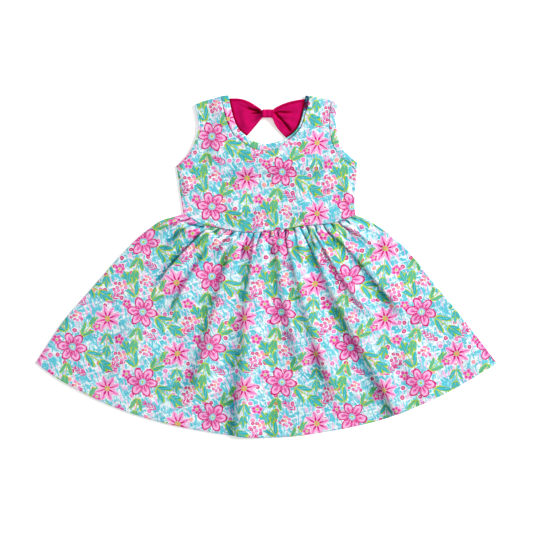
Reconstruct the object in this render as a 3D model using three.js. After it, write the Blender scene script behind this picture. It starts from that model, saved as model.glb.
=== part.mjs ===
// Toddler sundress in printed jersey, laid flat on its back: front and back bodice, gathered front and
// back skirt, bands round the neck, the back opening and the armholes, and a bow across the back opening.
// Millimetres, +Z up, the front faces up, +Y runs to the shoulders and +X to the picture's right.
// The origin is on the surface it lies on, in the middle of the dress.
import * as THREE from "three";

// Cloth walls
const CLOTH = 1.2;
const BAND_CLOTH = 1.6;
const BOW_CLOTH = 1.6;
const SEAM_GAP = 0.4;

// Levels of the underside of the front panels above the surface
const SEAM_LEVEL = 1.9;
const FRONT_LEVEL = 2.4;
const SEAM_RAMP = 16;
const BOW_LIFT = 1.7;

// Where the front bodice is lifted over the bow's ends: fully above and inside, not below or outside
const LIFT_ABOVE = { none: 140, full: 178 };
const LIFT_INSIDE = { full: 72, none: 92 };

// Half width of the chest, the height of the underarm and where the bodice creases end over the waist
const CHEST_HALF = 137;
const UNDERARM = 156;
const CREASES_END = { none: 60, full: 100 };

// Width of the bands and of the edge that shows where a band is rolled under
const BAND_WIDTH = 11;
const ROLLED_WIDTH = 3.5;
const BACK_BAND_WIDTH = 9;

// Stretch of the front neck, as shares of it from the left shoulder, over which its band rolls under
const NECK_ROLL = { from: 0.5, to: 0.68 };

// How far the back skirt stays inside the front one
const BACK_INSET = 0.8;

// Outline of the dress, read as real sizes. Left and right are the picture's.
const SHOULDER_LEFT = [[-110.9, 249.5], [-97, 255.6], [-78, 261], [-58.5, 263.6]];
const SHOULDER_RIGHT = [[110.1, 252.6], [97, 257.5], [78, 261.6], [60, 263.6]];
const ARMHOLE_LEFT = [
  [-110.9, 249.5], [-106.3, 229.5], [-105.5, 211], [-109.3, 195.6], [-118.6, 175.6], [-138.6, 154],
];
const ARMHOLE_RIGHT = [
  [110.1, 252.6], [107.8, 235.6], [107.8, 214], [110.9, 195.6], [119.5, 178.5], [140.1, 159.4],
];
const SIDE_LEFT = [[-135.5, 134], [-132.4, 110.9], [-128, 81.4]];
const SIDE_RIGHT = [[138.6, 134], [135.8, 103.2], [137, 79.8]];
const WAIST = [
  [-128, 81.2], [-103, 66], [-78.5, 60], [-49.3, 54.4], [-23, 51.6], [4.6, 54.7],
  [35.4, 58.5], [66, 63], [97, 65.6], [120, 71.6], [137, 79.6],
];
const SKIRT_LEFT = [
  [-128, 80.8], [-146.3, 75.5], [-164.8, 69.3], [-195.6, 46.2], [-226.4, 15.4], [-269.5, -33.9],
  [-312.6, -83.9], [-355.6, -148.5],
];
const SKIRT_RIGHT = [
  [137, 79.2], [144.8, 76], [160.2, 69.3], [189.4, 49.3], [220.2, 21.6], [257.2, -24.6],
  [300.3, -77], [355.6, -149.5],
];
const HEM = [
  [-355.6, -149], [-312.6, -178.6], [-237.2, -215.6], [-149.4, -243.3], [-52.4, -260.3],
  [0, -263.6], [66.2, -258.7], [174, -237.2], [268, -200.2], [355.6, -150],
];
const FRONT_NECK = [
  [-58.5, 263.6], [-55, 244.5], [-49.6, 225.3], [-42.7, 211.6], [-31.7, 201.9], [-20.6, 193.6],
  [-6.9, 189.6], [5.4, 189.6], [20.6, 193.6], [34.3, 200.5], [45.3, 210.2], [52.2, 222.5],
  [56.4, 239], [60, 263.6],
];
// Right half of the back opening, from its lowest point to the shoulder
const BACK_OPENING = [[0, 150], [24, 153.5], [47, 166], [62, 187], [67, 212], [65.5, 238], [61.5, 263.2]];

// Folds of the front skirt: a crest line from start to end with a bow in it, its height, and how far the
// cloth takes to fall away on the picture's left (near) and right (far) of the crest. Fades are lengths
// over which the fold grows from its start and dies before its end, and 0 keeps it up to the edge.
const SKIRT_FOLDS = [
  { start: [-26, 46], end: [-51, -258], bend: 2, height: 5.5, near: 7, far: 34, grow: 60, fade: 0 },
  { start: [2, 36], end: [50, -180], bend: 5, height: 3, near: 10, far: 30, grow: 50, fade: 60 },
  { start: [24, 37], end: [105, -242], bend: 6, height: 4.6, near: 7, far: 32, grow: 45, fade: 0 },
  { start: [58, 50], end: [191, -228], bend: 6, height: 6.2, near: 7, far: 38, grow: 50, fade: 0 },
  { start: [76, 45], end: [181, -84], bend: 5, height: 3.6, near: 8, far: 24, grow: 30, fade: 60 },
  { start: [96, 46], end: [224, -84], bend: -7, height: 4.4, near: 8, far: 30, grow: 30, fade: 60 },
  { start: [-50, 32], end: [-116, -226], bend: -4, height: 3.4, near: 13, far: 30, grow: 40, fade: 60 },
  { start: [-69, 48], end: [-166, -88], bend: 6, height: 2.6, near: 10, far: 24, grow: 25, fade: 50 },
  { start: [-92, 35], end: [-182, -45], bend: 3, height: 3.4, near: 9, far: 22, grow: 20, fade: 45 },
  { start: [-172, -60], end: [-236, -190], bend: 4, height: 2.4, near: 22, far: 34, grow: 50, fade: 60 },
  { start: [196, -90], end: [258, -204], bend: -4, height: 2.4, near: 18, far: 34, grow: 50, fade: 0 },
];

// Rows of the skirt panels' cloth as shares from the hem to the waist, close together under the gathers,
// and the number of columns across each panel
const SKIRT_ROWS = [0, 0.16, 0.32, 0.47, 0.6, 0.71, 0.8, 0.87, 0.92, 0.955, 0.98, 1];
const SKIRT_COLUMNS = { front: 104, back: 26 };

// Short pleats beside the two ends of the waist seam
const WAIST_END_PLEATS = [
  { start: [-131, 75], end: [-168, 58], bend: 2, height: 2.4, near: 3.5, far: 5, grow: 6, fade: 22 },
  { start: [-122, 69], end: [-176, 30], bend: 4, height: 2.6, near: 5, far: 8, grow: 8, fade: 34 },
  { start: [-110, 63], end: [-158, 12], bend: 4, height: 2.4, near: 5, far: 9, grow: 8, fade: 34 },
  { start: [134, 72], end: [180, 48], bend: -3, height: 2.4, near: 4, far: 6, grow: 6, fade: 26 },
  { start: [124, 65], end: [178, 26], bend: -3, height: 2.6, near: 5, far: 8, grow: 8, fade: 30 },
];

// Gathers under the waist seam: place along it from left (0) to right (1), length, height and half width
const GATHERS = [
  { at: 0.075, run: 24, height: 1.6, half: 4.2 },
  { at: 0.115, run: 17, height: 1.3, half: 3.6 },
  { at: 0.152, run: 30, height: 1.9, half: 4.4 },
  { at: 0.196, run: 15, height: 1.4, half: 4.0 },
  { at: 0.243, run: 26, height: 1.9, half: 4.6 },
  { at: 0.282, run: 14, height: 1.4, half: 3.8 },
  { at: 0.326, run: 22, height: 2.0, half: 4.4 },
  { at: 0.368, run: 34, height: 2.3, half: 4.4 },
  { at: 0.401, run: 16, height: 1.5, half: 3.2 },
  { at: 0.436, run: 23, height: 2.0, half: 3.8 },
  { at: 0.483, run: 30, height: 2.1, half: 4.8 },
  { at: 0.531, run: 18, height: 1.6, half: 4.6 },
  { at: 0.569, run: 27, height: 2.0, half: 3.6 },
  { at: 0.618, run: 20, height: 1.8, half: 4.8 },
  { at: 0.659, run: 28, height: 2.2, half: 3.8 },
  { at: 0.694, run: 16, height: 1.5, half: 3.6 },
  { at: 0.734, run: 30, height: 2.2, half: 4.2 },
  { at: 0.782, run: 20, height: 1.7, half: 4.6 },
  { at: 0.829, run: 26, height: 2.0, half: 4.2 },
  { at: 0.872, run: 18, height: 1.6, half: 4.0 },
  { at: 0.914, run: 22, height: 1.8, half: 3.8 },
  { at: 0.951, run: 14, height: 1.3, half: 3.2 },
];

// Creases of the front bodice, in the same columns as the folds
const BODICE_CREASES = [
  { start: [-137, 150], end: [-112, 116], bend: 3, height: 1.6, near: 7, far: 10, grow: 8, fade: 18 },
  { start: [117, 134], end: [131, 96], bend: -4, height: 1.5, near: 7, far: 9, grow: 12, fade: 14 },
  { start: [-76, 256], end: [-60, 206], bend: -2, height: 1.1, near: 9, far: 7, grow: 14, fade: 22 },
  { start: [-60, 128], end: [-34, 70], bend: 3, height: 1.0, near: 14, far: 18, grow: 24, fade: 20 },
  { start: [58, 150], end: [44, 74], bend: -3, height: 1.0, near: 16, far: 16, grow: 24, fade: 20 },
];

// Bow: upper and lower edge from its left end to its right end, and the pinch between them
const BOW_TOP = [
  [-60, 259.5], [-45.4, 259.4], [-34.5, 256.9], [-23.4, 252.1], [-13.5, 244.6], [-8.5, 239.3],
  [1.5, 239], [11.5, 239.3], [17.5, 246.8], [27.4, 252.7], [41.3, 255.6], [60, 257.5],
];
const BOW_BOTTOM = [
  [-55, 176], [-43, 188], [-31, 202], [-22, 213], [-14.5, 223.5], [-8.8, 231.7],
  [1.5, 232], [11.8, 231.7], [15.5, 220.5], [21.5, 210], [32.3, 199.9], [44, 187], [55, 176],
];
// Stretch of the back opening that the bow's ends are sewn to, as shares of its edge from the shoulder
const BOW_ENDS = { high: 0.015, low: 0.293 };
const BOW_CENTRE = 1.5;
const PINCH_THICKNESS = 5.2;
const PINCH_LEVEL = 2;
const PINCH_REACH = { full: 4, none: 20 };
const BOW_END_LEVEL = 0.3;
const BOW_EDGE_ROLL = { height: 0.36, half: 0.07 };

// Distances from the pinch between which the bow's creases grow and then die
const CREASE_REACH = { none: 2, full: 14, fading: 30, end: 52 };

// Creases of the bow: its side, the place across the bow from its upper edge (0) to its lower edge (1),
// height, and half width as a share of the bow's height
const BOW_CREASES = [
  { side: -1, across: 0.16, height: 1.3, half: 0.09 },
  { side: -1, across: 0.45, height: 1.0, half: 0.08 },
  { side: -1, across: 0.76, height: 1.2, half: 0.09 },
  { side: 1, across: 0.14, height: 1.2, half: 0.09 },
  { side: 1, across: 0.4, height: 1.1, half: 0.08 },
  { side: 1, across: 0.7, height: 1.3, half: 0.09 },
];

// Knot: a loop of cloth round the pinch
const KNOT_LEFT = -6.8;
const KNOT_RIGHT = 9.8;
const KNOT_BOTTOM = 229.2;
const KNOT_TOP = 242;
const KNOT_HEIGHT = 9.4;
const KNOT_WALL = 1.5;
const KNOT_CORNER = 3.4;
const KNOT_CORNER_STEPS = 5;
const KNOT_ROUNDING = 0.6;
const KNOT_ROUNDING_LENGTH = 1;

// Colours of the plain solids
const PRINT_COLOUR = 0x7cc8d4;
const BAND_COLOUR = 0x8fb9d0;
const BOW_COLOUR = 0xd10f68;
const CLOTH_ROUGHNESS = 0.85;

// A smooth curve through points, evenly walked from 0 to 1
function curveThrough(points) {
  const spline = new THREE.SplineCurve(points.map(([x, y]) => new THREE.Vector2(x, y)));
  return (t) => spline.getPointAt(THREE.MathUtils.clamp(t, 0, 1));
}

function lengthOf(curve) {
  const parts = 60;
  let length = 0;
  for (let i = 0; i < parts; i += 1) length += curve(i / parts).distanceTo(curve((i + 1) / parts));
  return length;
}

// The part of a curve between two shares of its length
function stretch(curve, from, to) {
  return (t) => curve(from + (to - from) * t);
}

// Two or more curves in a row, each with its own share of the whole
function chain(pieces) {
  return (t) => {
    let from = 0;
    for (const { share, curve } of pieces) {
      if (t <= from + share + 1e-9) return curve((t - from) / share);
      from += share;
    }
    return pieces[pieces.length - 1].curve(1);
  };
}

// A straight edge between two points
function edge(a, b) {
  return (t) => a.clone().lerp(b, t);
}

// A curve moved sideways, to the left of its direction, by a width that may change along it
function offset(curve, width) {
  const glance = 1e-3;
  return (t) => {
    const before = curve(Math.max(t - glance, 0));
    const along = curve(Math.min(t + glance, 1)).sub(before).normalize();
    const across = new THREE.Vector2(-along.y, along.x);
    return curve(t).addScaledVector(across, width(t));
  };
}

// A curve whose two ends are eased on to given points
function pinEnds(curve, start, end) {
  const sharpness = 5;
  return (t) => {
    const point = curve(t);
    point.addScaledVector(start.clone().sub(curve(0)), (1 - t) ** sharpness);
    return point.addScaledVector(end.clone().sub(curve(1)), t ** sharpness);
  };
}

// A curve moved by a fixed step
function shift(curve, x, y) {
  return (t) => curve(t).add(new THREE.Vector2(x, y));
}

// Point of a four-sided patch between its edges: u runs from left to right, v from bottom to top
function patchPoint({ bottom, top, left, right }, u, v) {
  const point = bottom(u).multiplyScalar(1 - v).addScaledVector(top(u), v);
  point.addScaledVector(left(v), 1 - u).addScaledVector(right(v), u);
  point.addScaledVector(bottom(0), -(1 - u) * (1 - v)).addScaledVector(bottom(1), -u * (1 - v));
  return point.addScaledVector(top(0), -(1 - u) * v).addScaledVector(top(1), -u * v);
}

function smooth(value, from, to) {
  return THREE.MathUtils.smoothstep(value, from, to);
}

// Height of one crease at a point of the cloth
function creaseHeight(row, x, y) {
  const along = new THREE.Vector2(row.end[0] - row.start[0], row.end[1] - row.start[1]);
  const length = along.length();
  along.divideScalar(length);
  const fromStart = new THREE.Vector2(x - row.start[0], y - row.start[1]);
  const walked = fromStart.dot(along);
  const part = THREE.MathUtils.clamp(walked / length, 0, 1);
  const bow = 4 * row.bend * part * (1 - part);
  const aside = fromStart.x * -along.y + fromStart.y * along.x + bow;
  const flank = aside < 0 ? row.near : row.far;
  const begun = smooth(walked, 0, row.grow);
  const kept = row.fade > 0 ? 1 - smooth(walked, length - row.fade, length) : 1;
  return row.height * begun * kept * Math.exp(-((aside / flank) ** 2));
}

function creasesHeight(rows, x, y) {
  return rows.reduce((sum, row) => sum + creaseHeight(row, x, y), 0);
}

// Cloth as one or more grids of points whose shared edges meet, with a height for each point
class Sheet {
  constructor() {
    this.points = [];
    this.faces = [];
    this.known = new Map();
  }

  addPoint(x, y, low, wall) {
    const key = `${x.toFixed(3)} ${y.toFixed(3)}`;
    if (!this.known.has(key)) {
      this.known.set(key, this.points.length);
      this.points.push({ x, y, low, high: low + wall });
    }
    return this.known.get(key);
  }

  // pointAt gives { x, y, low, wall } at u, v
  addGrid(columns, rows, pointAt) {
    const index = [];
    for (let row = 0; row <= rows.length - 1; row += 1) {
      for (let column = 0; column <= columns.length - 1; column += 1) {
        const { x, y, low, wall } = pointAt(columns[column], rows[row]);
        index.push(this.addPoint(x, y, low, wall));
      }
    }
    const wide = columns.length;
    for (let row = 0; row < rows.length - 1; row += 1) {
      for (let column = 0; column < wide - 1; column += 1) {
        const corner = row * wide + column;
        this.addQuad(index[corner], index[corner + 1], index[corner + wide + 1], index[corner + wide]);
      }
    }
  }

  // A quad is split along its shorter diagonal
  addQuad(a, b, c, d) {
    const [pa, pb, pc, pd] = [a, b, c, d].map((i) => this.points[i]);
    const first = Math.hypot(pa.x - pc.x, pa.y - pc.y, pa.low - pc.low);
    const second = Math.hypot(pb.x - pd.x, pb.y - pd.y, pb.low - pd.low);
    if (first <= second) this.faces.push([a, b, c], [a, c, d]);
    else this.faces.push([a, b, d], [b, c, d]);
  }

  // The closed wall: upper face, lower face and a side wall along each open edge
  solid() {
    const count = this.points.length;
    const positions = [];
    for (const { x, y, high } of this.points) positions.push(x, y, high);
    for (const { x, y, low } of this.points) positions.push(x, y, low);
    const indices = [];
    const open = new Map();
    for (const face of this.faces) {
      const [a, b, c] = face;
      indices.push(a, b, c, a + count, c + count, b + count);
      for (const [from, to] of [[a, b], [b, c], [c, a]]) {
        if (open.has(`${to} ${from}`)) open.delete(`${to} ${from}`);
        else open.set(`${from} ${to}`, [from, to]);
      }
    }
    for (const [from, to] of open.values()) {
      indices.push(from, from + count, to + count, from, to + count, to);
    }
    return closedGeometry(positions, indices);
  }
}

function closedGeometry(positions, indices) {
  const geometry = new THREE.BufferGeometry();
  geometry.setAttribute("position", new THREE.Float32BufferAttribute(positions, 3));
  geometry.setIndex(indices);
  geometry.computeVertexNormals();
  return geometry;
}

function steps(count) {
  return Array.from({ length: count + 1 }, (_, i) => i / count);
}

// Curves that the pieces share
const shoulderLeft = curveThrough(SHOULDER_LEFT);
const shoulderRight = curveThrough(SHOULDER_RIGHT);
const armholeLeft = curveThrough(ARMHOLE_LEFT);
const armholeRight = curveThrough(ARMHOLE_RIGHT);
const sideLeft = curveThrough([ARMHOLE_LEFT.at(-1), ...SIDE_LEFT]);
const sideRight = curveThrough([ARMHOLE_RIGHT.at(-1), ...SIDE_RIGHT]);
const waist = curveThrough(WAIST);
const waistLength = lengthOf(waist);
const frontNeck = curveThrough(FRONT_NECK);
const backNeck = curveThrough([
  ...BACK_OPENING.slice(1).map(([x, y]) => [-x, y]).reverse(),
  ...BACK_OPENING,
]);

// The seams that meet at each armhole, and the side of its curve that the bodice lies on
const LEFT_ARM = { armhole: armholeLeft, shoulder: shoulderLeft, side: sideLeft, inward: 1 };
const RIGHT_ARM = { armhole: armholeRight, shoulder: shoulderRight, side: sideRight, inward: -1 };

// The neck band is rolled under from the middle of the neck to the right shoulder
function neckBandWidth(t) {
  return BAND_WIDTH + (ROLLED_WIDTH - BAND_WIDTH) * smooth(t, NECK_ROLL.from, NECK_ROLL.to);
}

// The place at a given distance from the start of a curve
function placeOn(curve, distance) {
  return curve(distance / lengthOf(curve));
}

// The inner edge of a band round an armhole, from the shoulder seam to the side seam
function armholeInner({ armhole, shoulder, side, inward }, width) {
  return pinEnds(offset(armhole, () => width * inward), placeOn(shoulder, width), placeOn(side, width));
}

// The seamed edge of a band round a neck, from the left shoulder to the right one
function neckOuter(neck, width, gap) {
  const from = (shoulder, t) => shoulder(0).distanceTo(neck(t)) - width(t) - gap;
  return pinEnds(
    offset(neck, (t) => -(width(t) + gap)),
    placeOn(shoulderLeft, from(shoulderLeft, 0)),
    placeOn(shoulderRight, from(shoulderRight, 1)),
  );
}

// Height of the underside of the front bodice: lifted over the bow's ends, low at the side seams
function frontBodiceLow(x, y) {
  const aside = Math.abs(x);
  const above = smooth(y, LIFT_ABOVE.none, LIFT_ABOVE.full);
  const overBow = above * (1 - smooth(aside, LIFT_INSIDE.full, LIFT_INSIDE.none));
  const inside = y > UNDERARM ? 1 : 1 - smooth(aside, CHEST_HALF - SEAM_RAMP, CHEST_HALF);
  const creases = creasesHeight(BODICE_CREASES, x, y) * smooth(y, CREASES_END.none, CREASES_END.full);
  return SEAM_LEVEL + (FRONT_LEVEL - SEAM_LEVEL + creases) * inside + BOW_LIFT * overBow;
}

// A bodice panel: a body block below, and a strap on each side of the neck
function bodiceSheet({ neck, neckWidth, bands, splitAt, low, cells }) {
  const neckEdge = neckOuter(neck, neckWidth, SEAM_GAP);
  const leftArm = armholeInner(LEFT_ARM, bands.left + SEAM_GAP);
  const rightArm = armholeInner(RIGHT_ARM, bands.right + SEAM_GAP);
  const waistEdge = shift(waist, 0, SEAM_GAP / 2);
  const [splitLeft, splitRight] = splitAt;
  const splitLineLeft = edge(leftArm(1), neckEdge(splitLeft));
  const splitLineRight = edge(neckEdge(splitRight), rightArm(1));
  const strapShare = cells.strap / (2 * cells.strap + cells.middle);
  const body = {
    bottom: waistEdge,
    top: chain([
      { share: strapShare, curve: splitLineLeft },
      { share: 1 - 2 * strapShare, curve: stretch(neckEdge, splitLeft, splitRight) },
      { share: strapShare, curve: splitLineRight },
    ]),
    left: pinEnds((v) => sideLeft(1 - v), waistEdge(0), leftArm(1)),
    right: pinEnds((v) => sideRight(1 - v), waistEdge(1), rightArm(1)),
  };
  const leftStrap = {
    bottom: splitLineLeft,
    top: edge(leftArm(0), neckEdge(0)),
    left: (v) => leftArm(1 - v),
    right: stretch(neckEdge, splitLeft, 0),
  };
  const rightStrap = {
    bottom: splitLineRight,
    top: edge(neckEdge(1), rightArm(0)),
    left: stretch(neckEdge, splitRight, 1),
    right: (v) => rightArm(1 - v),
  };
  const sheet = new Sheet();
  const across = { body: 2 * cells.strap + cells.middle, strap: cells.strap };
  for (const [patch, columns, rows] of [
    [body, across.body, cells.body],
    [leftStrap, across.strap, cells.up],
    [rightStrap, across.strap, cells.up],
  ]) {
    sheet.addGrid(steps(columns), steps(rows), (u, v) => {
      const { x, y } = patchPoint(patch, u, v);
      return { x, y, low: low(x, y), wall: CLOTH };
    });
  }
  return sheet;
}

function frontBodice() {
  return bodiceSheet({
    neck: frontNeck,
    neckWidth: neckBandWidth,
    bands: { left: ROLLED_WIDTH, right: BAND_WIDTH },
    splitAt: [0.31, 0.7],
    low: frontBodiceLow,
    cells: { strap: 7, middle: 14, body: 9, up: 12 },
  }).solid();
}

function backBodice() {
  return bodiceSheet({
    neck: backNeck,
    neckWidth: () => BACK_BAND_WIDTH,
    bands: { left: BAND_WIDTH, right: BAND_WIDTH },
    splitAt: [0.33, 0.67],
    low: () => 0,
    cells: { strap: 4, middle: 16, body: 4, up: 12 },
  }).solid();
}

// A flat band along a neck curve, from its seamed edge to its free edge
function neckBandSolid({ neck, width, low, along, across }) {
  const outer = neckOuter(neck, width, 0);
  const sheet = new Sheet();
  sheet.addGrid(steps(along), steps(across), (u, v) => {
    const { x, y } = outer(u).lerp(neck(u), v);
    return { x, y, low: low(x, y), wall: BAND_CLOTH };
  });
  return sheet.solid();
}

function neckBand() {
  return neckBandSolid({
    neck: frontNeck, width: neckBandWidth, low: frontBodiceLow, along: 40, across: 2,
  });
}

function backNeckBand() {
  return neckBandSolid({
    neck: backNeck, width: () => BACK_BAND_WIDTH, low: () => 0, along: 40, across: 1,
  });
}

// A band round an armhole: it runs down the front, turns under at the side seam, comes back up the back
// and turns over at the shoulder seam
function armholeBand(arm, frontWidth) {
  const backMiddle = BAND_CLOTH / 2;
  const frontMiddle = FRONT_LEVEL + BAND_CLOTH / 2;
  const radius = (frontMiddle - backMiddle) / 2;
  const middle = (frontMiddle + backMiddle) / 2;
  const outerRadius = radius + BAND_CLOTH / 2;
  const alongSteps = 16;
  const turnSteps = 6;
  const widening = 0.12;
  const first = outerRadius / lengthOf(arm.armhole);
  const last = 1 - first;
  const stations = [];
  const straight = (from, to, angle, width) => {
    for (let i = 0; i <= alongSteps; i += 1) {
      stations.push({ at: from + ((to - from) * i) / alongSteps, angle, width: width(i / alongSteps) });
    }
  };
  const turn = (at, fromAngle) => {
    for (let i = 1; i < turnSteps; i += 1) {
      stations.push({ at, angle: fromAngle - (Math.PI * i) / turnSteps, width: frontWidth });
    }
  };
  straight(first, last, Math.PI / 2, () => frontWidth);
  turn(last, Math.PI / 2);
  straight(last, first, -Math.PI / 2, (share) => {
    const fromEnd = Math.min(share, 1 - share);
    return frontWidth + (BAND_WIDTH - frontWidth) * smooth(fromEnd, 0, widening);
  });
  turn(first, -Math.PI / 2);
  const inner = armholeInner(arm, 1);
  const positions = [];
  for (const { at, angle, width } of stations) {
    const edgePoint = arm.armhole(at);
    const across = inner(at).sub(edgePoint);
    const along = new THREE.Vector2(across.y, -across.x).normalize().multiplyScalar(arm.inward);
    for (const [side, out] of [[0, -1], [1, -1], [1, 1], [0, 1]]) {
      const reach = radius + (out * BAND_CLOTH) / 2;
      const point = edgePoint.clone().addScaledVector(across, side * width);
      point.addScaledVector(along, Math.cos(angle) * reach);
      positions.push(point.x, point.y, middle + Math.sin(angle) * reach);
    }
  }
  const indices = [];
  const count = stations.length;
  for (let i = 0; i < count; i += 1) {
    const next = (i + 1) % count;
    for (let corner = 0; corner < 4; corner += 1) {
      const a = i * 4 + corner;
      const b = i * 4 + ((corner + 1) % 4);
      const c = next * 4 + ((corner + 1) % 4);
      const d = next * 4 + corner;
      if (arm.inward > 0) indices.push(a, b, c, a, c, d);
      else indices.push(a, c, b, a, d, c);
    }
  }
  return closedGeometry(positions, indices);
}

// Patch of a skirt panel between the waist seam, the side seams and the hem
function skirtPatch(inset) {
  const waistEdge = shift(waist, 0, -SEAM_GAP / 2);
  const slanted = inset * Math.SQRT1_2;
  const hem = curveThrough(HEM.map(([x, y]) => [x, y + inset]));
  const left = curveThrough(SKIRT_LEFT.map(([x, y]) => [x + slanted, y - slanted]));
  const right = curveThrough(SKIRT_RIGHT.map(([x, y]) => [x - slanted, y - slanted]));
  return {
    bottom: pinEnds(hem, left(1), right(1)),
    top: waistEdge,
    left: pinEnds((v) => left(1 - v), left(1), waistEdge(0)),
    right: pinEnds((v) => right(1 - v), right(1), waistEdge(1)),
  };
}

// Height of the gathers at a place along the waist seam and a distance below it
function gatherHeight(along, below) {
  return GATHERS.reduce((sum, { at, run, height, half }) => {
    const aside = ((along - at) * waistLength) / half;
    return sum + height * Math.exp(-(aside ** 2)) * (1 - smooth(below, run / 4, run * 1.5));
  }, 0);
}

function frontSkirt() {
  const patch = skirtPatch(0);
  const hemLength = lengthOf(patch.bottom);
  const sheet = new Sheet();
  sheet.addGrid(steps(SKIRT_COLUMNS.front), SKIRT_ROWS, (u, v) => {
    const { x, y } = patchPoint(patch, u, v);
    const below = patch.top(u).distanceTo(new THREE.Vector2(x, y));
    const rowLength = hemLength + (waistLength - hemLength) * v;
    const inside = smooth(Math.min(u, 1 - u) * rowLength, 0, SEAM_RAMP);
    const folds = creasesHeight(SKIRT_FOLDS, x, y) + creasesHeight(WAIST_END_PLEATS, x, y);
    const raised = FRONT_LEVEL - SEAM_LEVEL + folds + gatherHeight(u, below);
    return { x, y, low: SEAM_LEVEL + raised * inside, wall: CLOTH };
  });
  return sheet.solid();
}

function backSkirt() {
  const patch = skirtPatch(BACK_INSET);
  const sheet = new Sheet();
  sheet.addGrid(steps(SKIRT_COLUMNS.back), SKIRT_ROWS, (u, v) => {
    const { x, y } = patchPoint(patch, u, v);
    return { x, y, low: 0, wall: CLOTH };
  });
  return sheet.solid();
}

// The bow: cloth pinched in the middle, with creases that spread from the pinch to its two ends
function bow() {
  const top = curveThrough(BOW_TOP);
  const bottom = curveThrough(BOW_BOTTOM);
  const endEdge = (from, to) => (v) => {
    const point = backNeck(from + (to - from) * v);
    point.x -= Math.sign(point.x) * SEAM_GAP;
    return point;
  };
  const left = endEdge(BOW_ENDS.low, BOW_ENDS.high);
  const right = endEdge(1 - BOW_ENDS.low, 1 - BOW_ENDS.high);
  const patch = {
    bottom: pinEnds(bottom, left(0), right(0)),
    top: pinEnds(top, left(1), right(1)),
    left,
    right,
  };
  const sheet = new Sheet();
  sheet.addGrid(steps(26), steps(8), (u, v) => {
    const { x, y } = patchPoint(patch, u, v);
    const away = Math.abs(x - BOW_CENTRE);
    const pinch = 1 - smooth(away, PINCH_REACH.full, PINCH_REACH.none);
    const grown = smooth(away, CREASE_REACH.none, CREASE_REACH.full);
    const kept = 1 - smooth(away, CREASE_REACH.fading, CREASE_REACH.end);
    const creases = BOW_CREASES.filter((row) => row.side === (Math.sign(x - BOW_CENTRE) || 1)).reduce(
      (sum, row) => sum + row.height * Math.exp(-(((1 - v - row.across) / row.half) ** 2)),
      0,
    );
    const fromEdge = Math.min(v, 1 - v) / BOW_EDGE_ROLL.half;
    const roll = BOW_EDGE_ROLL.height * Math.exp(-(fromEdge ** 2));
    const level = BOW_END_LEVEL + (PINCH_LEVEL - BOW_END_LEVEL) * pinch;
    const low = level + creases * grown * kept * (1 - pinch);
    const wall = BOW_CLOTH + (PINCH_THICKNESS - BOW_CLOTH) * pinch + roll * (1 - pinch);
    return { x, y, low, wall };
  });
  return sheet.solid();
}

// The knot: a rounded loop across the pinch, open along X
function bowKnot() {
  const loop = (grow) => {
    const outline = [];
    const radius = KNOT_CORNER - grow;
    const corners = [
      [KNOT_TOP - KNOT_CORNER, KNOT_HEIGHT - KNOT_CORNER, 0],
      [KNOT_BOTTOM + KNOT_CORNER, KNOT_HEIGHT - KNOT_CORNER, 1],
      [KNOT_BOTTOM + KNOT_CORNER, KNOT_CORNER, 2],
      [KNOT_TOP - KNOT_CORNER, KNOT_CORNER, 3],
    ];
    for (const [y, z, quarter] of corners) {
      for (let i = 0; i <= KNOT_CORNER_STEPS; i += 1) {
        const angle = (quarter + i / KNOT_CORNER_STEPS) * (Math.PI / 2);
        outline.push([y + radius * Math.cos(angle), z + radius * Math.sin(angle)]);
      }
    }
    return outline;
  };
  const sections = [
    { x: KNOT_LEFT, outer: loop(KNOT_ROUNDING) },
    { x: KNOT_LEFT + KNOT_ROUNDING_LENGTH, outer: loop(0) },
    { x: KNOT_RIGHT - KNOT_ROUNDING_LENGTH, outer: loop(0) },
    { x: KNOT_RIGHT, outer: loop(KNOT_ROUNDING) },
  ];
  const inner = loop(KNOT_WALL);
  const rings = [
    ...sections.map(({ x, outer }) => outer.map(([y, z]) => [x, y, z])),
    inner.map(([y, z]) => [KNOT_RIGHT, y, z]),
    inner.map(([y, z]) => [KNOT_LEFT, y, z]),
  ];
  const count = inner.length;
  const positions = rings.flat(2);
  const indices = [];
  for (let ring = 0; ring < rings.length; ring += 1) {
    const nextRing = (ring + 1) % rings.length;
    for (let i = 0; i < count; i += 1) {
      const next = (i + 1) % count;
      const a = ring * count + i;
      const b = ring * count + next;
      const c = nextRing * count + next;
      const d = nextRing * count + i;
      indices.push(a, b, c, a, c, d);
    }
  }
  return closedGeometry(positions, indices);
}

const dress = new THREE.Group();

function addPiece(name, geometry, colour) {
  const material = new THREE.MeshStandardMaterial({
    color: colour,
    roughness: CLOTH_ROUGHNESS,
    metalness: 0,
  });
  const mesh = new THREE.Mesh(geometry, material);
  mesh.name = name;
  dress.add(mesh);
}

addPiece("front_bodice", frontBodice(), PRINT_COLOUR);
addPiece("back_bodice", backBodice(), PRINT_COLOUR);
addPiece("front_skirt", frontSkirt(), PRINT_COLOUR);
addPiece("back_skirt", backSkirt(), PRINT_COLOUR);
addPiece("neck_band", neckBand(), BAND_COLOUR);
addPiece("back_neck_band", backNeckBand(), BAND_COLOUR);
addPiece("armhole_band_left", armholeBand(LEFT_ARM, ROLLED_WIDTH), BAND_COLOUR);
addPiece("armhole_band_right", armholeBand(RIGHT_ARM, BAND_WIDTH), BAND_COLOUR);
addPiece("bow", bow(), BOW_COLOUR);
addPiece("bow_knot", bowKnot(), BOW_COLOUR);

export default dress;
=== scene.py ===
import math

import bmesh
import bpy
import numpy as np
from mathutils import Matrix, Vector, kdtree, noise


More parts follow.
